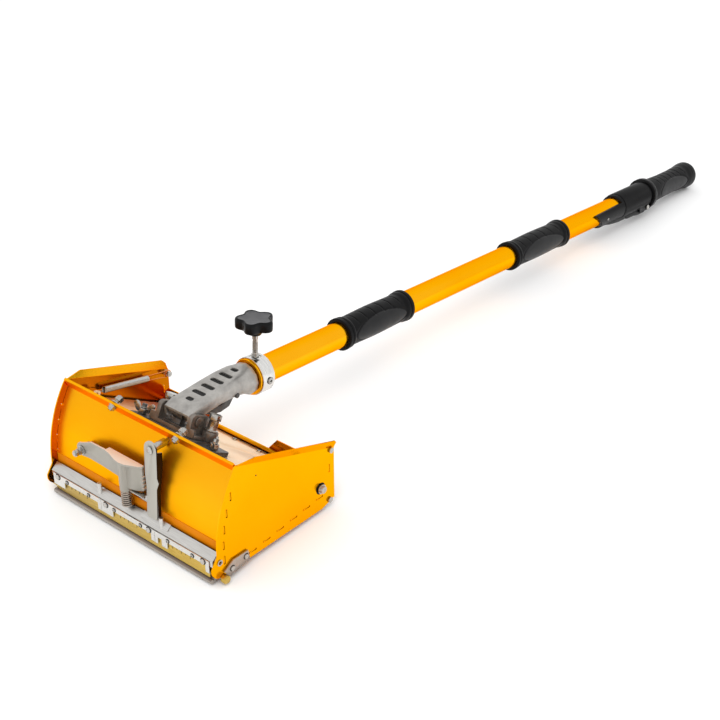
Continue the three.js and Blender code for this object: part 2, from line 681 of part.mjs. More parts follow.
function returnSpring(side) {
  const start = new THREE.Vector2(...lidPoint(...lugHole));
  const end = new THREE.Vector2(...postCentre);
  const span = end.clone().sub(start);
  const at = (t, x = spring.x, lift = 0) => {
    const point = start.clone().addScaledVector(span, t);
    return [x, point.x, point.y + lift];
  };
  const slope = THREE.MathUtils.radToDeg(span.angle());
  const centre = at((spring.bodyStart + spring.bodyEnd) / 2);
  const length = span.length() * (spring.bodyEnd - spring.bodyStart);
  const body = rod('y', -length / 2, length / 2, spring.radius, [0, 0], 18)
    .rotate([slope, 0, 0]).translate(centre);
  const frontHook = wire([
    at(spring.bodyStart + 0.02), at(0.07), at(0.03, 123), at(0, 119.2),
  ], 0.9, 4);
  const rearHook = [-1, 1].map((lift) => wire([
    at(spring.bodyEnd - 0.02, spring.x, 3 * lift),
    at(0.85, spring.x, 3.2 * lift),
    at(0.965, spring.x, 3.6 * lift),
  ], 0.8, 3));
  const loop = tube('x', -0.9, 0.9, 4.6, 3, [0, 0], 18).translate(at(1));
  const whole = join(body, frontHook, ...rearHook, loop);
  return mirrored(whole, side);
}
sides.forEach(([label, side]) => place(`${label}_return_spring`, returnSpring(side), springSteel));

// ---------- handle head and brake ----------

// Section of the head at y: half-width a, bottom and top, corner radius.
function headRing({ y, a, bottom, top, corner }) {
  const perCorner = 4;
  const r = Math.min(corner, a, (top - bottom) / 2);
  const centres = [[a - r, top - r, 0], [r - a, top - r, 1], [r - a, bottom + r, 2], [a - r, bottom + r, 3]];
  return centres.flatMap(([x, z, quarter]) =>
    Array.from({ length: perCorner }, (_, i) => {
      const angle = (quarter + i / (perCorner - 1)) * (Math.PI / 2);
      return [x + r * Math.cos(angle), y, z + r * Math.sin(angle)];
    }));
}

const headSections = [
  { y: -102.5, a: 19.9, bottom: 97.6, top: 112.2, corner: 3 },
  { y: -92, a: 19.9, bottom: 99.6, top: 116.6, corner: 3.5 },
  { y: -74, a: 19.7, bottom: 102.4, top: 118.4, corner: 4 },
  { y: -52, a: 19.5, bottom: 103.6, top: 120.4, corner: 4.5 },
  { y: -30, a: 19.2, bottom: 101.8, top: 122.4, corner: 6 },
  { y: -13, a: 19, bottom: 96.5, top: 123.8, corner: 10 },
  { y: -3, a: 18.9, bottom: 87.6, top: 124.9, corner: 18 },
  { y: 2.8, a: 18.9, bottom: 87.1, top: 124.6, corner: 18.7 },
];
const wall = 3.2;

function headCasting() {
  const outer = loft(headSections.map(headRing));
  const hollowSections = headSections.slice(0, 5).map((section, i) => headRing({
    y: i === 0 ? section.y - 1 : section.y, a: section.a - wall,
    bottom: section.bottom + wall, top: section.top - wall, corner: Math.max(section.corner - wall, 1),
  }));
  const last = headSections[5];
  hollowSections.push(headRing({
    y: last.y, a: last.a - 4.5, bottom: last.bottom + 5, top: last.top - 5, corner: 8,
  }));
  const slots = [-82.4, -68.9, -55.4, -41.9, -28.4, -14.9].map((y, i) => {
    const half = i === 0 || i === 5 ? 5.2 : 9.4;
    return prismZ(roundedRectangle(-half, half, y - 3, y + 3, 2.6), 108, 130);
  });
  const underSlot = block(-8.6, 8.6, -104, -18, 84, 108);
  const frontGap = block(-12, 12, -104, -88, 84, 104);
  const pivot = lidPoint(pivotInLid.y, pivotInLid.z);
  const bore = rod('y', -26, 10, innerTubeRadius + gap, [0, 0], 28)
    .rotate([THREE.MathUtils.radToDeg(-handleDrop), 0, 0]).translate([0, 0, handleHeight]);
  const socketOpening = rod('y', -34, -20, 12, [0, 0], 24)
    .rotate([THREE.MathUtils.radToDeg(-handleDrop), 0, 0]).translate([0, 0, handleHeight]);
  const armPin = rod('x', -30, 30, 3.3, [-30.5, 104.8], 12);
  return cut(outer, loft(hollowSections), ...slots, underSlot, frontGap, bore, socketOpening, armPin,
    rod('x', -30, 30, pinRadius + gap, pivot, 16));
}
place('head_casting', headCasting(), castGrey);

function brakeArm() {
  const outline = polygon([
    ...arcPoints([-30.5, 104.8], 5, -0.25 * Math.PI, 0.5 * Math.PI, 5),
    [-33.5, 104.5], [-36, 99], [-44, 94.5], [-58, 96.5], [-74, 103.4], [-83.2, 106.4],
    [-84.6, 100.6], [-74, 96.4], [-58, 89], [-46, 86.6], [-33, 88.2], [-24.8, 97.5],
  ].reverse());
  return join(prismX(outline, -7.6, 7.6), rod('x', -19.6, 19.6, 3, [-30.5, 104.8], 12));
}
place('brake_arm', brakeArm(), darkCast);

// ---------- handle, in its own frame ----------

const innerTube = tube('y', -24, 420, innerTubeRadius, innerTubeBore, [0, 0], 24);
place('inner_tube', innerTube, satinAluminium, handleFrame);
place('brake_rod', rod('y', -22, 436, 3.6, [0, 0], 12), zincPlate, handleFrame);
place('brake_sleeve', tube('y', 60, 900, 6, 4, [0, 0], 16), satinAluminium, handleFrame);

const boltBore = rod('z', 10, 60, 3.3, [0, knob.y], 14);
place('outer_tube', cut(
  turned([
    [tubeBore, ring.front], [ring.radius - 0.8, ring.front], [ring.radius, ring.front + 0.8],
    [ring.radius, ring.rear - 0.8], [ring.radius - 0.8, ring.rear],
    [tubeRadius, ring.rear], [tubeRadius, endGrip.rear - 6], [tubeBore, endGrip.rear - 6],
  ]), boltBore), goldAnodised, handleFrame);

function clampCollar() {
  const body = tube('y', collar.front, collar.rear, collar.radius, tubeRadius + gap, [0, 0], 24);
  const split = block(-0.6, 0.6, collar.front - 1, collar.rear + 1, -30, -10);
  const screw = rod('x', collar.radius - 3, collar.radius + 0.8, 3.8, [knob.y + 1, -1], 16);
  return cut(join(cut(body, split), screw), boltBore,
    block(-5.2, 5.2, knob.y - 5.2, knob.y + 5.2, collar.radius - 1.2, 40));
}
place('clamp_collar', clampCollar(), satinAluminium, handleFrame);

place('clamp_bolt', join(
  rod('z', innerTubeRadius + gap, knob.bottom - 9, 2.9, [0, knob.y], 14),
  rod('z', collar.radius - 0.8, collar.radius + 2.2, 4.6, [0, knob.y], 6),
  rod('z', 44, knob.bottom - 9, 3.4, [0, knob.y], 14)), zincPlate, handleFrame);

function starKnob() {
  const steps = 40;
  const points = Array.from({ length: steps }, (_, i) => {
    const angle = (2 * Math.PI * i) / steps;
    const wave = 0.5 - 0.5 * Math.cos(knob.lobes * (angle - THREE.MathUtils.degToRad(8)));
    const radius = knob.radius - 4.6 * wave ** 1.3;
    return [radius * Math.cos(angle), knob.y + radius * Math.sin(angle)];
  });
  const head = prismZ(polygon(points), knob.bottom, knob.top);
  const hub = toManifold(new THREE.CylinderGeometry(12, 7, 11, 24)
    .rotateX(Math.PI / 2).translate(0, knob.y, knob.bottom - 5));
  return cut(join(head, hub), rod('z', 40, knob.bottom - 8.7, 3.7, [0, knob.y], 14));
}
place('star_knob', starKnob(), blackPlastic, handleFrame);

function grip(front, rear) {
  const bore = tubeRadius + gap;
  const flange = 20.6;
  const waist = 18.4;
  const swell = 19.4;
  return turned([
    [bore, front], [flange, front], [flange, front + 5], [waist, front + 9], [swell, (front + rear) / 2],
    [waist, rear - 12], [flange, rear - 5], [flange, rear], [bore, rear],
  ]);
}
Object.entries(grips).forEach(([name, [front, rear]]) =>
  place(name, grip(front, rear), blackRubber, handleFrame));

// The hood closes round the tube; its nose is a cradle under the tube, with the lever in its underside.
function triggerHousing() {
  const bore = tubeRadius + gap;
  const hood = turned([
    [bore, housing.front], [housing.radius, housing.front], [housing.radius, housing.rear],
    [housing.flangeRadius, housing.rear], [housing.flangeRadius, housing.flangeRear],
    [bore, housing.flangeRear],
  ]);
  const cradle = cut(tube('y', housing.nose, housing.front + 1, 19.8, bore),
    prismX(polygon([
      [housing.nose - 1, 6.5], [housing.front - 7, 8.5], [housing.front - 6, 30], [housing.nose - 1, 30],
    ]), -30, 30),
    prismX(polygon([
      [housing.nose, 8], [housing.nose - 1, 8], [housing.nose - 1, -30],
      [housing.nose + 28, -30], [housing.nose + 28, -18],
    ]), -30, 30));
  const keel = prismX(polygon([
    [766, -8], [766, -15], [782, -18], [808, -20.6], [828, -20.6], [832, -16], [832, -8],
  ]), -13, 13);
  const tubeSpace = rod('y', 700, 1000, bore, [0, 0], 24);
  const recess = block(-11.4, 11.4, 832, housing.rear - 1.2, -40, -9);
  const cheeks = sides.map(([, side]) => mirrored(
    block(11.2, 13.6, 878, housing.rear + 1, -22.4, -6), side));
  const pivotSpot = [trigger.y, trigger.z];
  const headRooms = sides.map(([, side]) => mirrored(rod('x', 13.6, 22, 4.2, pivotSpot, 14), side));
  return cut(join(cut(join(hood, cradle, keel), recess), ...cheeks), tubeSpace, ...headRooms,
    rod('x', -20, 20, 2.4, pivotSpot, 12));
}
place('trigger_housing', triggerHousing(), blackPlastic, triggerFrame);

function triggerLever() {
  const lever = prismX(polygon([
    [835.6, -12], [835.6, -19], [841, -23.4], [862, -23.6], [874, -25.4], [894, -25.6], [903.6, -23.6],
    [906, -19.6], [905, -15.2], [888, -11],
  ]), -10.6, 10.6);
  return cut(lever, rod('y', 820, 930, tubeRadius + 1.2, [0, 0], 24),
    rod('x', -20, 20, 2.5, [trigger.y, trigger.z], 12));
}
place('trigger_lever', triggerLever(), blackPlastic, triggerFrame);
place('trigger_screw', join(
  rod('x', -14.2, 14.2, 2.1, [trigger.y, trigger.z], 12),
  ...sides.map(([, side]) => mirrored(rod('x', 13.9, 15.6, 3.8, [trigger.y, trigger.z], 14), side))),
zincPlate, triggerFrame);

place('end_grip', turned([
  [tubeRadius + gap, endGrip.front], [20, endGrip.front], [19.6, 940], [18.7, 975], [18.8, 1005],
  [19.8, 1034], [endGrip.radius, 1051], [endGrip.radius, 1058], [19.6, endGrip.rear], [0, endGrip.rear],
  [0, endGrip.rear - 5.7], [tubeRadius + gap, endGrip.rear - 5.7],
]), blackRubber, handleFrame);

// ---------- stand it on the ground, centred ----------

tool.updateMatrixWorld(true);
const bounds = new THREE.Box3().setFromObject(tool, true);
const middle = bounds.getCenter(new THREE.Vector3());
tool.position.set(-middle.x, -middle.y, -bounds.min.z);

export default tool;
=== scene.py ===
"""Looks of a drywall flat finishing box on its extendable, braked handle."""

import json
import math

import bpy
import bmesh
from mathutils import Matrix, Vector


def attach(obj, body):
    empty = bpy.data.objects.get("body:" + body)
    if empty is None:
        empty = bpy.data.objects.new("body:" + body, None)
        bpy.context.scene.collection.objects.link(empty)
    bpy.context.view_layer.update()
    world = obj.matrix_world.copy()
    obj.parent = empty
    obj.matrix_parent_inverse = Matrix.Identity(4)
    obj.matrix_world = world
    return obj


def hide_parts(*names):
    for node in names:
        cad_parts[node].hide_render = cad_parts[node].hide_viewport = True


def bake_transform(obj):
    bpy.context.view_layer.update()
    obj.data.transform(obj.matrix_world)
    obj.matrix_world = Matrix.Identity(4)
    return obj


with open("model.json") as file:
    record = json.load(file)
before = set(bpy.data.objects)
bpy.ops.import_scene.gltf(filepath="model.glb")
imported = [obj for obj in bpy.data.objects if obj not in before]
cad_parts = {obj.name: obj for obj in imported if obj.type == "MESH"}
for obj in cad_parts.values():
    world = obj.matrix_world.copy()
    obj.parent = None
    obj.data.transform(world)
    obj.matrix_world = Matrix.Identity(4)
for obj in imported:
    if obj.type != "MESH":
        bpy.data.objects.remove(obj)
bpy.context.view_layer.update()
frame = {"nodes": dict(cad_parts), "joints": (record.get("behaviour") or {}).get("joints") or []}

MM = 0.001
TAU = 2 * math.pi
X, Y, Z = Vector((1, 0, 0)), Vector((0, 1, 0)), Vector((0, 0, 1))
FORWARD = -Y  # the way the blade holder faces
SIDES = (("left", -1), ("right", 1))


# ---------- places that several pieces share, in millimetres ----------

# in the box's level frame, before the tool is tipped onto its end grip
HINGE_Y, HINGE_Z = -22.3, 28  # lid axle
FRONT_RADIUS = 146  # front plate's outer face, about the axle
SIDE_FACE = 132  # side plates' outer faces
WALL_END = 130  # half length of sheets that fit between the side plates
HOLDER_FRONT = -180.2
CLIP_FRONT = HOLDER_FRONT - 1.5  # clip plates' front faces
CROWN_SPRING = Vector((-3.5, -176, 0))
CROWN_BOLT = Vector((-72, 0, 68.5))
SPRING_X = 124.6  # lid springs
POST = Vector((0, -5.5, 69.2))  # spring posts

# in the lid's frame, which starts at the axle
LUG = Vector((0, -112, 11.4))  # hole for a lid spring's hook
STUD_X, STUD_Y = 55.6, -100

# in the handle's frame, whose y axis is the middle line of the tube
KNOB_Y, KNOB_ANCHOR_Z = 16.5, 60
TUBE_RADIUS, TUBE_BORE, TUBE_END = 16.05, 14.5, 1057


# ---------- the tool's own frames, worked out from its joints ----------


def joint(name):
    return next(j for j in frame["joints"] if j["name"] == name)


def axis_of(name):
    return Vector(joint(name)["axis"])


def frame_from(y_axis, z_axis, anchor, place):
    """A frame in which the row-frame point `anchor` has the coordinates `place`, in millimetres."""
    y, z = y_axis.normalized(), z_axis.normalized()
    turn = Matrix((y.cross(z), y, z)).transposed()
    origin = Vector(anchor) - turn @ (Vector(place) * MM)
    return Matrix.Translation(origin) @ turn.to_4x4() @ Matrix.Diagonal((MM, MM, MM, 1))


level_y = axis_of("crown_lever_pivot")
lid_z = axis_of("left_wing_nut_turn")
handle_y = axis_of("handle_extension")
trigger_x = axis_of("trigger_pull")
hinge_point = joint("lid_hinge")["pos_m"]
knob_point = joint("clamp_knob_turn")["pos_m"]

LEVEL = frame_from(level_y, X.cross(level_y), hinge_point, (0, HINGE_Y, HINGE_Z))
LID = frame_from(lid_z.cross(X), lid_z, hinge_point, (0, 0, 0))
HANDLE = frame_from(handle_y, X.cross(handle_y), knob_point, (0, KNOB_Y, KNOB_ANCHOR_Z))
TRIGGER = frame_from(handle_y, trigger_x.cross(handle_y), HANDLE.translation, (0, 0, 0))


# ---------- materials ----------


def srgb(*levels):
    """A linear colour from sRGB levels of 0 to 255."""
    return [((v / 255 + 0.055) / 1.055) ** 2.4 if v > 10 else v / 255 / 12.92 for v in levels] + [1]


class Surface:
    """One procedural material: a Principled shader, textured in the object's own coordinates."""

    def __init__(self, name, metallic=0.0, **sockets):
        self.material = bpy.data.materials.new(name)
        self.material.use_nodes = True
        self.tree = self.material.node_tree
        self.shader = self.tree.nodes["Principled BSDF"]
        self.shader.inputs["Metallic"].default_value = metallic
        for socket, value in sockets.items():
            self.shader.inputs[socket.replace("_", " ")].default_value = value
        self.coordinates = self.tree.nodes.new("ShaderNodeTexCoord").outputs["Object"]
        self.height = None

    def node(self, kind, **inputs):
        """A new node, its inputs linked to a socket or set to a value."""
        made = self.tree.nodes.new(kind)
        for socket, value in inputs.items():
            name = socket.replace("_", " ")
            if isinstance(value, bpy.types.NodeSocket):
                self.tree.links.new(value, made.inputs[name])
            else:
                made.inputs[name].default_value = value
        return made

    def noise(self, scale, detail=3.0, stretch=None, roughness=0.55):
        place = self.coordinates
        if stretch:
            place = self.node("ShaderNodeMapping", Vector=place, Scale=stretch).outputs["Vector"]
        return self.node(
            "ShaderNodeTexNoise", Vector=place, Scale=scale, Detail=detail, Roughness=roughness
        ).outputs["Fac"]

    def facing(self, axis):
        """How far a face is turned towards an axis: that component of its normal."""
        normal = self.node("ShaderNodeTexCoord").outputs["Normal"]
        return self.node("ShaderNodeSeparateXYZ", Vector=normal).outputs[axis]

    def colour(self, factor, low, high, start=0.3, end=0.7):
        made = self.node("ShaderNodeValToRGB", Fac=factor)
        first, last = made.color_ramp.elements
        first.position, first.color = start, low
        last.position, last.color = end, high
        self.tree.links.new(made.outputs["Color"], self.shader.inputs["Base Color"])
        return self

    def roughness(self, factor, low, high):
        made = self.node("ShaderNodeMapRange", Value=factor, From_Min=0.3, From_Max=0.7,
                         To_Min=low, To_Max=high)
        self.tree.links.new(made.outputs["Result"], self.shader.inputs["Roughness"])
        return self

    def bump(self, factor, depth, strength=1.0):
        """Adds relief of a depth in millimetres to the relief that is there already."""
        made = self.node("ShaderNodeBump", Height=factor, Distance=depth * MM, Strength=strength)
        if self.height is not None:
            self.tree.links.new(self.height, made.inputs["Normal"])
        self.height = made.outputs["Normal"]
        self.tree.links.new(self.height, self.shader.inputs["Normal"])
        return self


# painted shade: a darker orange for the sheet faces that look into the box
INNER_PAINTED_SHADE = srgb(206, 118, 14)


def gold(name, low, high, grain=(0.6, 6, 6), inner=None):
    """Gold anodised sheet; `inner` is the axis and the sign of the faces that look inwards, which
    are painted a darker orange as painted shade.
    """
    made = Surface(name, metallic=1.0, Specular_Tint=srgb(255, 196, 60))
    made.colour(made.noise(9, 4), srgb(254, 172, 16), srgb(255, 182, 26))
    if inner:
        axis, sign = inner
        base = made.shader.inputs["Base Color"]
        share = made.node("ShaderNodeMapRange", Value=made.facing(axis),
                          From_Min=0.9 * sign, From_Max=0.97 * sign)
        shaded_colour = made.node("ShaderNodeMixRGB", Fac=share.outputs["Result"],
                          Color1=base.links[0].from_socket, Color2=INNER_PAINTED_SHADE)
        made.tree.links.new(shaded_colour.outputs["Color"], base)
    made.roughness(made.noise(38, 5, stretch=grain), low, high)
    return made.bump(made.noise(500, 2, stretch=grain), 0.006, 0.2).material


def brushed(name, dark, light, low, high, grain, depth=0.03):
    """Bare metal with a grain."""
    made = Surface(name, metallic=1.0)
    streaks = made.noise(260, 4, stretch=grain)
    made.colour(streaks, dark, light)
    made.roughness(made.noise(45, 4), low, high)
    return made.bump(streaks, depth, 0.4).material


def moulded(name, dark, light, low, high, grain, depth, **sockets):
    """Rubber, plastic or any other dull and finely textured finish."""
    made = Surface(name, **sockets)
    made.colour(made.noise(55, 4), dark, light)
    made.roughness(made.noise(120, 3), low, high)
    return made.bump(made.noise(grain, 3, roughness=0.7), depth, 0.5).material


def painted(name, axis, plain, tint_and_shade, start=0.5, end=0.9, gloss=0.5):
    """Paint whose colour turns to another on the faces turned towards an axis: two-tone paint on
    the crown lever, painted shade on the latch's side and the guard's top.
    """
    made = Surface(name, metallic=0.2, Specular_IOR_Level=gloss)
    made.colour(made.facing(axis), plain, tint_and_shade, start, end)
    made.roughness(made.noise(120, 3), 0.34, 0.46)
    return made.bump(made.noise(1400, 3, roughness=0.7), 0.03, 0.5).material


def cast(name, dark, light, low, high, metallic):
    """Cast metal: a coarse skin over a slightly uneven face."""
    made = Surface(name, metallic=metallic)
    made.colour(made.noise(70, 6, roughness=0.65), dark, light)
    made.roughness(made.noise(160, 4), low, high)
    made.bump(made.noise(420, 5, roughness=0.7), 0.12, 0.6)
    return made.bump(made.noise(60, 2), 0.25, 0.35).material


# how a grain is stretched: long across the box, round, or even
ACROSS, AROUND = (0.25, 9, 9), (0.4, 9, 0.4)
EVEN, FINER = (3, 3, 3), (4, 4, 4)

SHEET_GOLD = gold("anodised_sheet", 0.32, 0.4)
# the side plates and the rear wall: painted shade on their inward faces
LEFT_GOLD = gold("anodised_left_sheet", 0.15, 0.24, inner=("X", 1))
RIGHT_GOLD = gold("anodised_right_sheet", 0.15, 0.24, inner=("X", -1))
REAR_GOLD = gold("anodised_rear_sheet", 0.15, 0.24, inner=("Y", -1))
# painted shade: the darker gold band above the blade holder
FOOT_SHADE_GOLD = moulded("foot_gold_painted_shade", srgb(214, 122, 0), srgb(224, 132, 2), 0.5, 0.6,
                    900, 0.02, Specular_IOR_Level=0.1)
TUBE_GOLD = gold("anodised_tube", 0.18, 0.22, grain=(1, 1, 1))

ALUMINIUM = brushed("satin_aluminium", srgb(192, 190, 186), srgb(218, 216, 212), 0.3, 0.42,
                    ACROSS)
BRIGHT_PLATE = brushed("bright_clip_plate", srgb(208, 208, 206), srgb(228, 228, 225), 0.22, 0.34,
                       ACROSS)
COLLAR = brushed("turned_aluminium", srgb(205, 205, 203), srgb(236, 235, 232), 0.12, 0.22,
                 AROUND)
LID_SKIN = brushed("lid_aluminium", srgb(252, 222, 186), srgb(255, 230, 198), 0.36, 0.44,
                   (0.3, 8, 8), depth=0.01)
ZINC = brushed("zinc_plate", srgb(162, 160, 155), srgb(200, 198, 193), 0.2, 0.32,
               EVEN, depth=0.02)
STEEL = brushed("bright_spring_wire", srgb(172, 172, 170), srgb(214, 213, 210), 0.18, 0.3,
                FINER, depth=0.02)
COIL_WIRE = brushed("coil_wire", srgb(160, 148, 136), srgb(196, 184, 172), 0.24, 0.36,
                    FINER, depth=0.02)
COPPERED = brushed("coppered_loop", srgb(214, 128, 66), srgb(238, 168, 104), 0.18, 0.28,
                   FINER, depth=0.02)
BRASS = brushed("satin_brass", srgb(186, 152, 62), srgb(216, 188, 104), 0.26, 0.4, ACROSS)
SKID_STEEL = brushed("skid_steel", srgb(166, 154, 144), srgb(186, 174, 164), 0.34, 0.44,
                     EVEN, depth=0.02)

# painted shade: the latch's faces turned towards +x go dark brown
LATCH_PAINT_AND_SHADE = painted("latch_paint_and_side_shade", "X", srgb(176, 173, 164), srgb(30, 14, 8), gloss=0.15)
# painted shade: the guard's upward faces go a darker brown-grey
GUARD_PAINT_AND_SHADE = painted("guard_finish_and_top_shade", "Z", srgb(158, 150, 141), srgb(118, 104, 94), 0.45, 0.75)
CROWN_PAINT = painted("crown_paint", "Z", srgb(160, 156, 146), srgb(224, 196, 176), 0.6, 0.95)

CAST = cast("cast_aluminium", srgb(152, 149, 145), srgb(190, 187, 182), 0.34, 0.5, 0.85)
YOKE_CAST = cast("dull_cast_aluminium", srgb(112, 104, 97), srgb(146, 138, 130), 0.34, 0.5, 0.85)
DARK_CAST = cast("dark_cast", srgb(70, 68, 66), srgb(104, 101, 98), 0.36, 0.52, 0.8)

RUBBER = moulded("grip_rubber", srgb(4, 4, 5), srgb(8, 8, 9), 0.38, 0.5,
                 1500, 0.04, Specular_IOR_Level=0.13)
# the thumb pads: a smoother rubber, its lighter grey painted sheen
PAD_RUBBER_SHEEN = moulded("smooth_pad_rubber_sheen", srgb(22, 22, 23), srgb(30, 30, 31), 0.34, 0.44,
                     900, 0.02, Specular_IOR_Level=0.22)
PLASTIC = moulded("black_plastic", srgb(5, 5, 6), srgb(10, 10, 11), 0.26, 0.36,
                  1100, 0.03, Specular_IOR_Level=0.16)
# painted light: the knob's dished top is a lighter grey than its sides
KNOB_TOP_LIT = moulded("knob_top_painted_light", srgb(58, 58, 60), srgb(70, 70, 72), 0.34, 0.46, 700, 0.03)
# painted shade in sockets, holes, rings round screws and rivets, under the head's slots and inside
# the crown spring; also the gauge's printed ticks
DARK_SHADE_AND_PRINT = moulded("screw_recess", srgb(20, 19, 18), srgb(34, 32, 30), 0.5, 0.6,
                 900, 0.02, metallic=0.5)


# ---------- CAD nodes that stay: softened edges and a finish ----------

CAD_FINISHES = {
    LEFT_GOLD: ["left_side_plate"],
    RIGHT_GOLD: ["right_side_plate"],
    REAR_GOLD: ["rear_wall"],
    SHEET_GOLD: ["front_plate", "bottom_plate"],
    ALUMINIUM: ["blade_holder", "hinge_tube", "inner_tube", "brake_sleeve"],
    LID_SKIN: ["lid"],
    COLLAR: ["clamp_collar"],
    CROWN_PAINT: ["crown_lever"],
    LATCH_PAINT_AND_SHADE: ["latch_lever"],
    ZINC: [
        "lid_axle", "left_spring_post", "right_spring_post", "wheel_axle",
        "left_stop_bolt", "right_stop_bolt", "crown_pivot_bolt", "latch_rivet",
        "crown_stop_tab", "left_hex_bolt", "right_hex_bolt", "left_wing_nut",
        "right_wing_nut", "brake_rod", "clamp_bolt", "trigger_screw",
    ],
    SKID_STEEL: ["left_skid_plate", "right_skid_plate"],
    GUARD_PAINT_AND_SHADE: ["blade_guard"],
    CAST: ["head_casting"],
    YOKE_CAST: ["yoke", "pivot_pin"],
    DARK_CAST: ["base_plate", "brake_drum", "brake_arm"],
    STEEL: ["blade"],
    BRASS: ["left_runner", "right_runner", "brass_strip"],
    RUBBER: ["lid_seal"],
    PLASTIC: ["left_axle_bush", "right_axle_bush", "trigger_housing", "trigger_lever"],
}
SOFT_EDGES = {  # millimetres of rounding where it isn't the usual
    "head_casting": 0.7, "yoke": 0.8, "base_plate": 0.6, "crown_lever": 0.5, "latch_lever": 0.4,
    "trigger_housing": 0.7, "trigger_lever": 0.9, "clamp_collar": 0.6, "brake_arm": 0.8,
    "blade_guard": 0.2, "blade": 0.1,
}
USUAL_EDGE = 0.25
FOLDED = {"left_side_plate", "right_side_plate", "front_plate", "rear_wall"}


def soften(piece, width):
    """Welds the shell, clears flat facets and rounds its sharp edges; the mesh itself stays."""
    folded = piece.name in FOLDED
    for polygon in piece.data.polygons:
        polygon.use_smooth = True
    weld = piece.modifiers.new("weld", "WELD")
    weld.merge_threshold = 0.01 * MM
    flats = piece.modifiers.new("flats", "DECIMATE")
    flats.decimate_type = "DISSOLVE"
    flats.angle_limit = math.radians(0.5)
    bevel = piece.modifiers.new("edges", "BEVEL")
    bevel.width = width * MM
    bevel.segments = 2
    bevel.limit_method = "ANGLE"
    bevel.angle_limit = math.radians(20 if folded else 32)
    bevel.harden_normals = not folded
    bevel.use_clamp_overlap = True
    if folded:
        weighted = piece.modifiers.new("flat_faces", "WEIGHTED_NORMAL")
        weighted.weight = 100


for finish, names in CAD_FINISHES.items():
    for name in names:
        node = frame["nodes"][name]
        node.data.materials.clear()
        node.data.materials.append(finish)
        soften(node, SOFT_EDGES.get(name, USUAL_EDGE))


# ---------- new pieces: points in millimetres, in one of the tool's frames ----------


def rings_to_faces(rings, sides, closed=False):
    """Quads between rings of `sides` points, the last ring joined to the first if closed."""
    faces = []
    for ring in range(rings if closed else rings - 1):
        for side in range(sides):
            a = ring * sides + side
            b = ring * sides + (side + 1) % sides
            step = sides if ring + 1 < rings else sides * (1 - rings)
            faces.append((a, b, b + step, a + step))
    return faces


def circle(centre, axis, radius, sides, across=None):
    """Points of a circle about a unit axis, the first of them in the direction `across`."""
    if across is None:
        across = axis.orthogonal().normalized()
    other = axis.cross(across)
    angles = [TAU * side / sides for side in range(sides)]
    return [centre + (across * math.cos(a) + other * math.sin(a)) * radius for a in angles]


def helix(centre, axis, radius, start, end, turns, steps):
    """Points of a helix about an axis, from one distance along it to another."""
    axis = Vector(axis).normalized()
    across = axis.orthogonal().normalized()
    other = axis.cross(across)
    count = round(turns * steps)
    points = []
    for i in range(count + 1):
        angle = TAU * i / steps
        along = start + (end - start) * i / count
        offset = (across * math.cos(angle) + other * math.sin(angle)) * radius
        points.append(Vector(centre) + axis * along + offset)
    return points


class Solid:
    """Points and faces of one piece, gathered from several shapes."""

    def __init__(self):
        self.points = []
        self.faces = []

    def add(self, points, faces):
        shift = len(self.points)
        self.points += [tuple(p) for p in points]
        self.faces += [tuple(i + shift for i in face) for face in faces]
        return self

    def hoop(self, rings):
        """Rings of points, each joined to the next and the last to the first."""
        points = [p for ring in rings for p in ring]
        return self.add(points, rings_to_faces(len(rings), len(rings[0]), closed=True))

    def loft(self, rings, tips=(None, None)):
        """Rings of points, each joined to the next; an end has one face, or a fan up to a tip."""
        sides = len(rings[0])
        points = [p for ring in rings for p in ring]
        faces = rings_to_faces(len(rings), sides)
        for first, tip in zip((0, len(points) - sides), tips):
            if tip is None:
                faces.append(tuple(range(first, first + sides)))
            else:
                peak = len(points)
                points.append(tip)
                faces += [(first + k, first + (k + 1) % sides, peak) for k in range(sides)]
        return self.add(points, faces)

    def block(self, x_ends, y_ends, z_ends):
        corners = ((0, 0), (1, 0), (1, 1), (0, 1))
        return self.loft([[(x, y_ends[i], z_ends[j]) for i, j in corners] for x in x_ends])

    def turned(self, profile, centre, axis, sides=32):
        """A profile of (radius, distance along the axis) turned about it, both ends closed."""
        axis = Vector(axis).normalized()
        across = (Z - axis * axis.z).normalized() if abs(axis.z) < 0.9 else X
        return self.loft([
            circle(Vector(centre) + axis * along, axis, radius, sides, across)
            for radius, along in profile
        ])

    def lathe(self, outline, centre, axis, sides):
        """A closed outline of (radius, distance along the axis), turned about it into a ring."""
        return self.hoop([
            circle(Vector(centre) + axis * along, axis, radius, sides)
            for radius, along in outline
        ])

    def swept(self, path, radius, sides=8):
        """A round wire along a path of points."""
        path = [Vector(p) for p in path]
        rings = []
        normal = None
        for i, here in enumerate(path):
            ahead = (path[min(i + 1, len(path) - 1)] - path[max(i - 1, 0)]).normalized()
            if normal is None:
                normal = ahead.orthogonal().normalized()
            normal = (normal - ahead * normal.dot(ahead)).normalized()
            rings.append(circle(here, ahead, radius, sides, normal))
        return self.loft(rings)

    def made(self, name, finish, body, base, slot, stands_for=(), second=None, second_faces=()):
        """The piece itself, from points in the frame `base`, riding on a CAD body if one is given.

        `second` is the finish of the faces whose numbers are in `second_faces`.
        """
        mesh = bpy.data.meshes.new(name)
        mesh.from_pydata([base @ Vector(p) for p in self.points], [], self.faces)
        mesh.materials.append(finish)
        if second:
            mesh.materials.append(second)
            for index in second_faces:
                mesh.polygons[index].material_index = 1
        for polygon in mesh.polygons:
            polygon.use_smooth = True
        outwards = bmesh.new()
        outwards.from_mesh(mesh)
        bmesh.ops.recalc_face_normals(outwards, faces=outwards.faces)
        outwards.to_mesh(mesh)
        outwards.free()
        mesh.set_sharp_from_angle(angle=math.radians(38))
        piece = bpy.data.objects.new(name, mesh)
        bpy.context.scene.collection.objects.link(piece)
        if body:
            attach(piece, body)
        if stands_for:
            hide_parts(*stands_for)
        return piece


# ---------- springs ----------


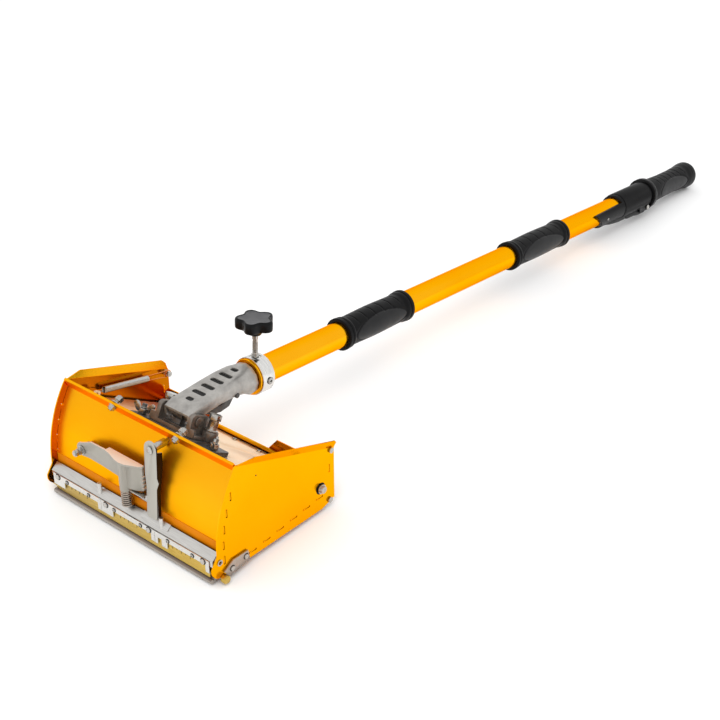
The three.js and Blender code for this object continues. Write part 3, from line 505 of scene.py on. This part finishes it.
def return_spring(label, side):
    """A lid spring: a close coil hooked into the lid's lug, and a long loop round the post."""
    lug = LEVEL.inverted() @ (LID @ LUG)
    start = Vector((side * SPRING_X, lug.y, lug.z))
    end = Vector((side * SPRING_X, POST.y, POST.z))
    along = (end - start).normalized()
    up = along.cross(X)
    span = (end - start).length
    first, last = 0.13 * span, 0.71 * span  # where the coil starts and ends
    wire, coil_radius, loop_radius = 0.62, 3.45, 3.9
    turns = (last - first) / (2.04 * wire)
    bend = start + along * 3.4

    coil = Solid().swept(helix(start, along, coil_radius, first, last, turns, 14), wire, 6)
    coil.swept([
        start + along * (first + 1) + up * 3.2, start + along * (first - 1.5) + up * 2,
        start + along * (first - 5), Vector((side * 122.4, bend.y, bend.z)),
        Vector((side * 119.2, start.y, start.z)), Vector((side * 117.6, start.y, start.z - 0.6)),
    ], wire)
    loop = Solid()
    for sign in (-1, 1):
        loop.swept([
            start + along * (last - 1.5) + up * 2.9 * sign,
            start + along * (last + 6) + up * 3.1 * sign,
            start + along * (span * 0.87) + up * 3.4 * sign,
            start + along * (span - 1.6) + up * loop_radius * sign,
        ], 0.5)
    loop.swept(helix(end, X, loop_radius, -0.9, 0.9, 1.5, 24), wire)

    coil_piece = coil.made(f"{label}_return_spring_coil", STEEL, None, LEVEL, "spring_steel",
                           stands_for=[f"{label}_return_spring"])
    loop_piece = loop.made(f"{label}_return_spring_loop", COPPERED, None, LEVEL, "spring_steel")
    for piece in (coil_piece, loop_piece):
        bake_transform(piece)


def crown_spring():
    """An open coil with its end turns closed flat, and a guide pin inside it, dark as painted shade
    between the turns.
    """
    turns, flat_turns, steps = 8.5, 0.8, 20
    radius, wire, low, high = 5.5, 0.82, 29.7, 47.7
    path = []
    for i in range(int(turns * steps) + 1):
        turn = i / steps
        share = min(max((turn - flat_turns) / (turns - 2 * flat_turns), 0), 1)
        angle = TAU * turn
        path.append(CROWN_SPRING + Vector(
            (radius * math.cos(angle), radius * math.sin(angle), low + (high - low) * share)))
    piece = Solid().swept(path, wire).made(
        "crown_spring_coil", COIL_WIRE, None, LEVEL, "spring_steel", stands_for=["crown_spring"])
    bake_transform(piece)
    # painted shade: the guide is dark so the gaps between the turns read as shade
    guide = [(4.2, 28.6), (4.2, 43.6), (3.6, 44.4), (2.2, 44.8)]  # radius, z in the level frame
    Solid().turned(guide, CROWN_SPRING, Z).made(
        "crown_spring_shade_guide", DARK_SHADE_AND_PRINT, "box", LEVEL, "dark_cast")


for label, side in SIDES:
    return_spring(label, side)
crown_spring()


# ---------- tube and wheels ----------

# outlines of (radius, distance along the axis)
end_ring = [(TUBE_BORE, 4.6), (20.5, 4.6), (21.2, 4.9), (21.4, 5.5), (21.4, 6.1), (21.2, 6.7),
            (20.5, 7), (16.3, 7)]
outside = [(TUBE_RADIUS, 7.2 + 35 * i) for i in range(31)]
rear_rim = [(TUBE_RADIUS, TUBE_END - 0.5), (TUBE_RADIUS - 0.45, TUBE_END), (TUBE_BORE, TUBE_END)]
inside = [(TUBE_BORE, 1050 - 35 * i) for i in range(30)]
Solid().lathe([*end_ring, *outside, *rear_rim, *inside], (0, 0, 0), Y, 72).made(
    "outer_tube_drawn", TUBE_GOLD, "handle", HANDLE, "gold_anodised", stands_for=["outer_tube"])

WHEEL_X, WHEEL_Y, WHEEL_Z = 113, -8, 6
tyre = [(10.4, -6), (10.9, -5.6), (11.2, -4.8), (11.2, -1.2), (10.8, -0.5), (10.8, 0.5),
        (11.2, 1.2), (11.2, 4.8), (10.9, 5.6), (10.4, 6)]
hub = [(8.6, 6), (8.2, 5.2), (5.8, 5.2), (5.4, 6), (3.7, 6), (3.4, 5.7)]
hub += [(radius, -along) for radius, along in reversed(hub)]
for label, side in SIDES:
    Solid().lathe(tyre + hub, (side * WHEEL_X, WHEEL_Y, WHEEL_Z), X, 56).made(
        f"{label}_wheel_moulded", PLASTIC, f"{label}_wheel", LEVEL, "black_plastic",
        stands_for=[f"{label}_wheel"])


# ---------- grips ----------

GRIP_STEP = 0.8  # distance between rings, about
GRIP_BORE = 16.35
GRIP_SIDES = 120
GRIP_ANGLES = [TAU * k / GRIP_SIDES for k in range(GRIP_SIDES)]
END_CROWN = [(0.985, 0.5), (0.9, 1.3), (0.7, 1.7), (0.35, 1.9)]  # share of the radius, rise
PAD_ANGLE = math.radians(50)
PAD_POWER = 1.8  # a pad's outline lies between an ellipse's 2 and a diamond's 1
GROOVE_ANGLE, GROOVE_FADE, DIMPLE_ANGLE = math.radians(40), math.radians(6), math.radians(44)


def smooth_step(value, low, high):
    t = min(max((value - low) / (high - low), 0), 1)
    return t * t * (3 - 2 * t)


def along_profile(profile, y):
    """Radius at y on a profile of (y, radius) points, eased between them."""
    for (y0, r0), (y1, r1) in zip(profile, profile[1:]):
        if y <= y1:
            return r0 + (r1 - r0) * smooth_step(y, y0, y1)
    return profile[-1][1]


def pad_measure(y, angle, pad):
    """0 in the middle of the nearer thumb pad, 1 on its rim."""
    middle, half_length = pad
    up = math.atan2(math.sin(angle), abs(math.cos(angle)))
    return abs((y - middle) / half_length) ** PAD_POWER + abs(up / PAD_ANGLE) ** PAD_POWER


def grip_radius(y, angle, profile, pad, grooves):
    reach = pad_measure(y, angle, pad) ** (1 / PAD_POWER)
    radius = along_profile(profile, y)
    radius -= 0.75 * math.exp(-(((reach - 1) / 0.035) ** 2))  # groove round the pad
    radius += 0.35 * smooth_step(1.0 - reach, 0.0, 0.35)
    over = abs(angle - TAU / 4)
    for groove in grooves:
        across = (y - groove - 1.6 * over) / 0.8
        if abs(across) < 3 and over < GROOVE_ANGLE:
            depth = 0.7 * math.exp(-across * across)
            radius -= depth * smooth_step(GROOVE_ANGLE - over, 0, GROOVE_FADE)
        dimple = math.hypot((y - groove - 2.2) / 1.5, (over - DIMPLE_ANGLE) * 19 / 1.2)
        if dimple < 2.5:
            radius -= 0.5 * math.exp(-dimple * dimple)
    return radius


def grip(node, profile, pad, grooves, closed_end=False):
    """A rubber grip with a thumb pad on both sides and short grooves over the top.

    The profile holds (y, radius); `pad` is the pads' middle y and half length; `grooves` holds
    the y of each groove's middle.
    """
    front, rear = profile[0][0], profile[-1][0]
    count = round((rear - front) / GRIP_STEP)

    def place(number):
        return front + (rear - front) * number / count

    def ring(y, radii):
        return [(r * math.cos(a), y, r * math.sin(a)) for r, a in zip(radii, GRIP_ANGLES)]

    def round_ring(y, radius):
        return ring(y, [radius] * GRIP_SIDES)

    skin = [
        ring(y, [grip_radius(y, angle, profile, pad, grooves) for angle in GRIP_ANGLES])
        for y in map(place, range(count + 1))
    ]
    mouth = round_ring(front, GRIP_BORE)
    solid = Solid()
    if closed_end:
        rim = profile[-1][1]
        crown = [round_ring(rear + rise - 2, rim * share) for share, rise in END_CROWN]
        blind_end = round_ring(rear - 6, GRIP_BORE)
        solid.loft([blind_end, mouth, *skin, *crown], tips=(None, (0, rear - 0.05, 0)))
    else:
        solid.hoop([round_ring(rear, GRIP_BORE), mouth, *skin])
    rings_before = 2
    pad_faces = [
        (rings_before + i) * GRIP_SIDES + k
        for i in range(count) for k in range(GRIP_SIDES)
        if pad_measure(place(i + 0.5), TAU * (k + 0.5) / GRIP_SIDES, pad) < 0.93
    ]
    solid.made(f"{node}_moulded", RUBBER, "handle", HANDLE, "black_rubber",
               stands_for=[node], second=PAD_RUBBER_SHEEN, second_faces=pad_faces)


def tube_grip(node, front, rear):
    """One of the two alike grips on the tube, with a collar at each end."""
    middle = (front + rear) / 2
    profile = [
        (front, 19.2), (front + 0.9, 20.5), (front + 4.6, 20.5), (front + 5.8, 19.2),
        (front + 6.6, 19.2), (front + 7.4, 20), (front + 9.4, 20), (front + 13, 18.5),
        (middle, 19.3), (rear - 16, 18.5), (rear - 9.4, 19.9), (rear - 7.4, 20),
        (rear - 6.6, 19.3), (rear - 5.8, 19.3), (rear - 4.6, 20.5), (rear - 0.9, 20.5),
        (rear, 19.2),
    ]
    groove_step = (rear - front - 44) / 5
    grooves = [front + 21 + groove_step * i for i in range(6)]
    grip(node, profile, (middle, (rear - front) / 2 - 13.5), grooves)


tube_grip("front_grip", 160, 285)
tube_grip("rear_grip", 522.5, 657.5)
grip("end_grip", [
    (918, 19.8), (922, 19.9), (926, 19.3), (940, 19.4), (975, 18.5), (1005, 18.6), (1034, 19.7),
    (1048, 21.2), (1052, 21.6), (1058, 21.5), (1061, 20.6), (1062.6, 19),
], (988, 46), [942 + 14 * i for i in range(7)], closed_end=True)


# ---------- star knob ----------


def star_knob():
    """A round hub under a five-lobed knob with a dished top."""
    sides, lobes, radius, lobe_depth = 150, 5, 22.6, 5.6
    lobe_start = math.radians(8)
    hub_sizes = [(7.0, 49.6), (7.6, 50.4), (9, 52.5), (11, 55), (12.4, 57)]  # radius, height
    star_sizes = [  # share of the lobed outline, height
        (0.84, 57.2), (0.95, 57.5), (0.99, 58.6), (1, 60.5), (1, 67), (0.985, 68.6),
        (0.95, 69.6), (0.9, 70), (0.87, 69.9), (0.84, 69.4), (0.6, 69.0), (0.3, 68.8),
    ]
    dish_ring = 14  # where the dished top starts, counting the hub's rings too
    angles = [TAU * k / sides for k in range(sides)]
    waves = [0.5 - 0.5 * math.cos(lobes * (angle - lobe_start)) for angle in angles]
    lobed = [radius - lobe_depth * wave ** 1.15 for wave in waves]
    sizes = [([size] * sides, z) for size, z in hub_sizes]
    sizes += [([size * share for size in lobed], z) for share, z in star_sizes]
    rings = [
        [(r * math.cos(a), KNOB_Y + r * math.sin(a), z) for r, a in zip(radii, angles)]
        for radii, z in sizes
    ]
    knob = Solid().loft(rings, tips=((0, KNOB_Y, 49.5), (0, KNOB_Y, 68.7)))
    # painted light: the dished top gets the lighter grey
    lit_top_faces = [*range(dish_ring * sides, (len(rings) - 1) * sides),
                 *range(len(knob.faces) - sides, len(knob.faces))]
    knob.made("star_knob_moulded", PLASTIC, "knob", HANDLE, "black_plastic",
              stands_for=["star_knob"], second=KNOB_TOP_LIT, second_faces=lit_top_faces)


star_knob()


# ---------- clip plates ----------

CLIP_LOW, CLIP_HIGH, NOTCH_TOP = 5.4, 20, 13.6
CLIP_SPANS = {  # x at the plate's two ends, then at the ends of each notch
    "left": [(-124, -43), (-105, -48.5)],
    "middle": [(-42.6, 42.6), (-23.6, 37.1)],
    "right": [(43, 124), (47.5, 53.5), (62, 118.5)],
}
for label, (ends, *notches) in CLIP_SPANS.items():
    outline = [(ends[0], CLIP_LOW)]
    for start, end in notches:
        outline += [(start, CLIP_LOW), (start, NOTCH_TOP), (end, NOTCH_TOP), (end, CLIP_LOW)]
    outline += [(ends[1], CLIP_LOW), (ends[1], CLIP_HIGH), (ends[0], CLIP_HIGH)]
    plate = Solid().loft([
        [(x, y, z) for x, z in outline] for y in (CLIP_FRONT, HOLDER_FRONT - 0.3)
    ]).made(f"{label}_clip_plate_cut", BRIGHT_PLATE, "box", LEVEL, "zinc_plate",
            stands_for=[f"{label}_clip_plate"])
    bevel = plate.modifiers.new("edges", "BEVEL")
    bevel.width = 0.2 * MM
    bevel.segments = 2


# ---------- fasteners: seen only, the CAD has no nodes for them ----------


def socket_screw(name, spot, axis, radius, height, body, base):
    """A button head whose hexagon socket is dark with painted shade."""
    sides, sixth = 36, TAU / 6
    axis = Vector(axis).normalized()
    rim = [(1, 0), (1, 0.45), (0.93, 0.78), (0.78, 0.96), (0.6, 1)]  # shares of radius, height
    socket = [(0.5, 1), (0.48, 0.9), (0.46, 0.25)]
    directions = circle(Vector(), axis, 1, sides)
    hexagon = [
        math.cos(sixth / 2) / math.cos(TAU * k / sides % sixth - sixth / 2) for k in range(sides)
    ]
    rings = []
    for outline, shape in ((rim, [1] * sides), (socket, hexagon)):
        for size, rise in outline:
            middle = Vector(spot) + axis * (rise * height)
            rings.append([middle + d * (size * radius) * k for d, k in zip(directions, shape)])
    head = Solid().loft(rings)
    socket_floor = len(head.faces) - 1
    # painted shade: the socket's walls and floor
    dark = [*range((len(rim) + 1) * sides, (len(rings) - 1) * sides), socket_floor]
    head.made(name, ZINC, body, base, "zinc_plate", second=DARK_SHADE_AND_PRINT, second_faces=dark)


def disc(radius, shoulder, top):
    """Profile of a flat disc with a narrow chamfer: a dark ring of painted shade round a screw or
    rivet, or in a hole.
    """
    return [(radius, 0), (radius, shoulder), (radius - 0.2, top)]


SCREW_Y, SHADE_RING_Y = CLIP_FRONT - 0.3, CLIP_FRONT + 0.05
COVER_Z, WINDOW_Z = 17, 16.2
# painted shade: dark discs round the cover and window screws
shade_rings = Solid()
for index, x in enumerate((-115.7, -34.3, 34.3, 115.7)):
    socket_screw(f"cover_screw_{index}", (x, SCREW_Y, COVER_Z), FORWARD, 2.7, 1.5, "box", LEVEL)
    shade_rings.turned(disc(3.9, 0.25, 0.4), (x, SHADE_RING_Y, COVER_Z), FORWARD)
for index, x in enumerate((-100, -63.2, -21.1, 21.1, 63.2, 100)):
    socket_screw(f"window_screw_{index}", (x, SCREW_Y, WINDOW_Z), FORWARD, 1.9, 1.1, "box", LEVEL)
    shade_rings.turned(disc(2.7, 0.25, 0.35), (x, SHADE_RING_Y, WINDOW_Z), FORWARD)
shade_rings.made("screw_recesses", DARK_SHADE_AND_PRINT, "box", LEVEL, "dark_cast")

socket_screw("collar_screw", (23.35, 17.5, -1), X, 3.3, 0.9, "handle", HANDLE)
# painted shade: a dark disc round the collar screw
Solid().turned(disc(4.3, 0.9, 1.0), (22.3, 17.5, -1), X).made(
    "collar_screw_recess", DARK_SHADE_AND_PRINT, "handle", HANDLE, "dark_cast")
# painted shade: a dark disc for the pin hole in the side plate
Solid().turned(disc(0.9, 0.2, 0.3), (SIDE_FACE - 0.1, -118, 95), X, 16).made(
    "plate_pin_hole", DARK_SHADE_AND_PRINT, "box", LEVEL, "dark_cast")

# painted shadow: dark rings round the skid rivets
rivets, seats = Solid(), Solid()
for side in (-1, 1):
    for y, z in ((-139.6, 7.8), (-159.4, 4.4)):
        seats.turned(disc(3.6, 0.15, 0.2), (side * 134.25, y, z), X * side)
        rivets.turned([(2.75, 0), (2.6, 0.5), (2, 0.9), (0.9, 1.1)], (side * 135.2, y, z),
                      X * side)
rivets.made("skid_rivet_heads", ZINC, "box", LEVEL, "zinc_plate")
seats.made("skid_rivet_seats", DARK_SHADE_AND_PRINT, "box", LEVEL, "dark_cast")

# plain strokes of a gauge, five about the middle of each clip plate
TICK_STEP, TICK_TOP, HALF_STROKE = 6.6, 13.2, 0.2
ticks = Solid()
for centre in (-81.6, 0, 81.6):
    for i in range(-2, 3):
        x = centre + i * TICK_STEP
        length = 4.6 if i % 2 == 0 else 3.2
        ticks.block((x - HALF_STROKE, x + HALF_STROKE), (HOLDER_FRONT - 0.12, HOLDER_FRONT + 0.2),
                    (TICK_TOP - length, TICK_TOP))
ticks.made("gauge_ticks", DARK_SHADE_AND_PRINT, "box", LEVEL, "dark_cast")

# painted shade: dark rings round the lid screws
lid_seats = Solid()
for index, x in enumerate((-77, -38.5, 0, 38.5, 77)):
    socket_screw(f"lid_screw_{index}", (x, -2.4, 8.2), Z, 2.5, 0.7, "lid", LID)
    lid_seats.turned(disc(3.3, 0.2, 0.3), (x, -2.4, 8.15), Z)
lid_seats.made("lid_screw_seats", DARK_SHADE_AND_PRINT, "lid", LID, "dark_cast")
socket_screw("housing_screw", (18.9, 770, -6.2), (1, 0, -0.3), 1.9, 0.9, "handle", TRIGGER)


def thread(name, centre, axis, radius, start, end, pitch, body, base):
    """A rolled thread: a fine ridge wound round a stud."""
    path = helix(centre, axis, radius, start, end, (end - start) / pitch, 18)
    Solid().swept(path, pitch * 0.32, 4).made(name, ZINC, body, base, "zinc_plate")


def front_y(radius, z):
    """Where an arc about the lid axle stands at a height, on the front plate's side."""
    return HINGE_Y - math.sqrt(radius**2 - (z - HINGE_Z) ** 2)


for label, side in SIDES:
    thread(f"{label}_stud_thread", (side * STUD_X, STUD_Y, 0), Z, 2.95, 18.6, 23, 1.0, "lid", LID)
thread("crown_bolt_thread", CROWN_BOLT, Y, 2.55, -187.3, -186.4, 0.8, "box", LEVEL)
thread("crown_bolt_shank_thread", CROWN_BOLT, Y, 2.55, -182.6, -181.9, 0.8, "box", LEVEL)
thread("clamp_bolt_thread", (0, KNOB_Y, 0), Z, 2.9, 25.5, 40, 1.25, "handle", HANDLE)

# the lid's stop bolts stand square to the front plate's leaning lip
LIP_Z, LIP_LEAN = 110.5, math.radians(25)
STOP_X, STOP_UP = 49.5, 8.8
stop_axis = Vector((0, math.cos(LIP_LEAN), math.sin(LIP_LEAN)))
up_the_lip = Vector((0, -math.sin(LIP_LEAN), math.cos(LIP_LEAN)))
stop_spot = Vector((0, front_y(FRONT_RADIUS, LIP_Z), LIP_Z)) + up_the_lip * STOP_UP
for label, side in SIDES:
    spot = stop_spot + X * side * STOP_X
    thread(f"{label}_stop_thread", spot, stop_axis, 2.45, 4.6, 7.2, 0.8, "box", LEVEL)
    thread(f"{label}_stop_tip_thread", spot, stop_axis, 2.45, 12.4, 13.4, 0.8, "box", LEVEL)


def bush(name, centre, outer, inner, width):
    """A rounded washer or bush on the side of the box."""
    half, middle, around = (outer - inner) / 2, (outer + inner) / 2, 10
    outline = []
    for i in range(around):
        across, along = math.cos(TAU * i / around), math.sin(TAU * i / around)
        outline.append((middle + half * math.copysign(abs(across) ** 0.5, across),
                        width / 2 * math.copysign(abs(along) ** 0.5, along)))
    Solid().lathe(outline, centre, X, 40).made(name, ZINC, "box", LEVEL, "zinc_plate")


for label, side in SIDES:
    bush(f"{label}_front_bush", (side * 132.3, -174, 18.6), 3.6, 1.9, 1.6)
    bush(f"{label}_axle_clip", (side * 134.2, HINGE_Y, HINGE_Z), 5.6, 4.05, 1.1)


# ---------- sheet metal details: seen only, as well ----------

# bent-over tabs of the front and bottom plates, standing in the side plates' slots
TAB_FACE = SIDE_FACE - 0.15
TAB_DEPTH, TAB_HALF_THICK = 1.3, 0.62
FLOOR_SLOPE, FLOOR_AT_ZERO = 0.0995, 19.2  # bottom plate's height over y
TAB_RADIUS = 145.2  # front plate's middle, about the axle
UPRIGHT = TAU / 4
tab_places = []  # y, z, lean, half length
for i in range(6):
    y = -127.5 + 20.6 * i
    tab_places.append((y, FLOOR_AT_ZERO + FLOOR_SLOPE * y, math.atan(FLOOR_SLOPE), 4.6))
for i in range(5):
    angle = math.pi - 0.43 + 0.125 * i
    tab_places.append((HINGE_Y + TAB_RADIUS * math.cos(angle),
                       HINGE_Z + TAB_RADIUS * math.sin(angle), UPRIGHT, 4.0))
tab_places.append((-8, 47, UPRIGHT, 4.0))
for label, side in SIDES:
    inner, outer = side * (TAB_FACE - TAB_DEPTH), side * TAB_FACE
    tabs = Solid()
    for y, z, lean, half in tab_places:
        along = Vector((0, math.cos(lean), math.sin(lean)))
        up = Vector((0, -math.sin(lean), math.cos(lean)))
        tabs.loft([
            [Vector((x, y, z)) + along * a * (half - shrink) + up * b * (TAB_HALF_THICK - shrink)
             for a, b in ((-1, -1), (1, -1), (1, 1), (-1, 1))]
            for x, shrink in ((inner, 0), (outer - side * 0.25, 0), (outer, 0.2))
        ])
    tabs.made(f"{label}_slot_tabs", SHEET_GOLD, "box", LEVEL, "gold_anodised")


def bar_across(outline, ends):
    """A bar across the box from an outline of (y, z) and, for each end ring, (x, drop in z)."""
    return Solid().loft([[(x, y, z - drop) for y, z in outline] for x, drop in ends])


# turned-in foot of the front plate, above the blade holder; its darker gold is painted shade
heights = (37.2, 34.4, 31.6, 28.8, 26)
foot = [(front_y(FRONT_RADIUS + 0.1, z), z) for z in heights]
foot += [(front_y(FRONT_RADIUS + 0.45, z), z) for z in reversed(heights)]
bar_across(foot, [(-WALL_END, 0), (WALL_END, 0)]).made(
    "front_plate_foot", FOOT_SHADE_GOLD, "box", LEVEL, "gold_anodised")

# hemmed top of the rear wall, behind the lid
hem = [(-11.5, 31.8), (-11.7, 34.2), (-11.2, 35.2), (-10.2, 35.6), (-8.8, 35.6), (-8, 34.8),
       (-7.9, 31.2)]
hem_ends = [(-WALL_END, 0.3), (-WALL_END + 0.4, 0), (WALL_END - 0.4, 0), (WALL_END, 0.3)]
bar_across(hem, hem_ends).made("rear_wall_hem", SHEET_GOLD, "box", LEVEL, "gold_anodised")

# painted shade: dark plates just under the head casting's slots, standing for the shade inside them
slot_shade = Solid()
for y, half in ((-82.4, 4.7), (-68.9, 9), (-55.4, 9), (-41.9, 9), (-28.4, 9), (-14.9, 4.7)):
    top = 117.1 + (y + 82.4) * 0.073
    slot_shade.block((-half, half), (y - 2.7, y + 2.7), (top - 0.8, top))
slot_shade.made("head_slot_shade", DARK_SHADE_AND_PRINT, "head", LEVEL, "dark_cast")

# a raised step on the holder's flange, behind the latch
step = [(-171.5, 27.4), (-176.4, 25.2), (-177.6, 24.2), (-177.2, 25.4), (-172.4, 29.4),
        (-171.3, 29.2)]
bar_across(step, [(17.5, 0.5), (18.3, 0), (58.2, 0), (59, 0.5)]).made(
    "holder_step", ALUMINIUM, "box", LEVEL, "satin_aluminium")


# ---------- studio ----------

# the photo's view: lens and sensor, and places in the box's level frame, in millimetres
LENS, SENSOR_WIDTH = 62.73, 36
EYE, TARGET = Vector((882.9, -846.4, 806.2)), Vector((4.8, 194.3, 48.7))
camera_data = bpy.data.cameras.new("camera")
camera = bpy.data.objects.new("camera", camera_data)
bpy.context.scene.collection.objects.link(camera)
bpy.context.scene.camera = camera
camera_data.lens = LENS
camera_data.sensor_width = SENSOR_WIDTH
view_turn = (TARGET - EYE).to_track_quat("-Z", "Y").to_matrix()
camera.location = LEVEL @ EYE
camera.rotation_euler = (LEVEL.to_3x3().normalized() @ view_turn).to_euler()

FLOOR_HALF = 9  # metres
floor_mesh = bpy.data.meshes.new("floor")
floor_corners = [
    (x * FLOOR_HALF, y * FLOOR_HALF, 0) for x, y in ((-1, -1), (1, -1), (1, 1), (-1, 1))
]
floor_mesh.from_pydata(floor_corners, [], [(0, 1, 2, 3)])
floor = bpy.data.objects.new("floor", floor_mesh)
bpy.context.scene.collection.objects.link(floor)
paper = Surface("studio_paper", Specular_IOR_Level=0.1)
paper.colour(paper.noise(3, 2), (0.93, 0.93, 0.93, 1), (0.95, 0.95, 0.95, 1))
paper.roughness(paper.noise(20, 2), 0.85, 0.95)
floor_mesh.materials.append(paper.material)


def softbox(name, place, size, power, aim=(0, -0.3, 0.05)):
    """A rectangular light that glossy faces don't mirror; places in metres, power in watts."""
    light = bpy.data.lights.new(name, "AREA")
    light.shape = "RECTANGLE"
    light.size, light.size_y = size
    light.energy = power
    holder = bpy.data.objects.new(name, light)
    bpy.context.scene.collection.objects.link(holder)
    holder.location = place
    holder.rotation_euler = (Vector(aim) - Vector(place)).to_track_quat("-Z", "Y").to_euler()
    holder.visible_glossy = False


softbox("key", (1.2, -1.6, 2.4), (1.6, 1.6), 26)
softbox("fill", (-2.2, -1.2, 1.6), (1.8, 1.4), 8)
softbox("rim", (0.6, 2.4, 2.2), (2.2, 1.0), 10, (0, 0.1, 0))

world = bpy.data.worlds.new("studio")
bpy.context.scene.world = world
world.use_nodes = True
sky = world.node_tree.nodes["Background"]
sky.inputs["Color"].default_value = (1, 1, 1, 1)
sky.inputs["Strength"].default_value = 0.98
bpy.context.scene.view_settings.view_transform = "Standard"
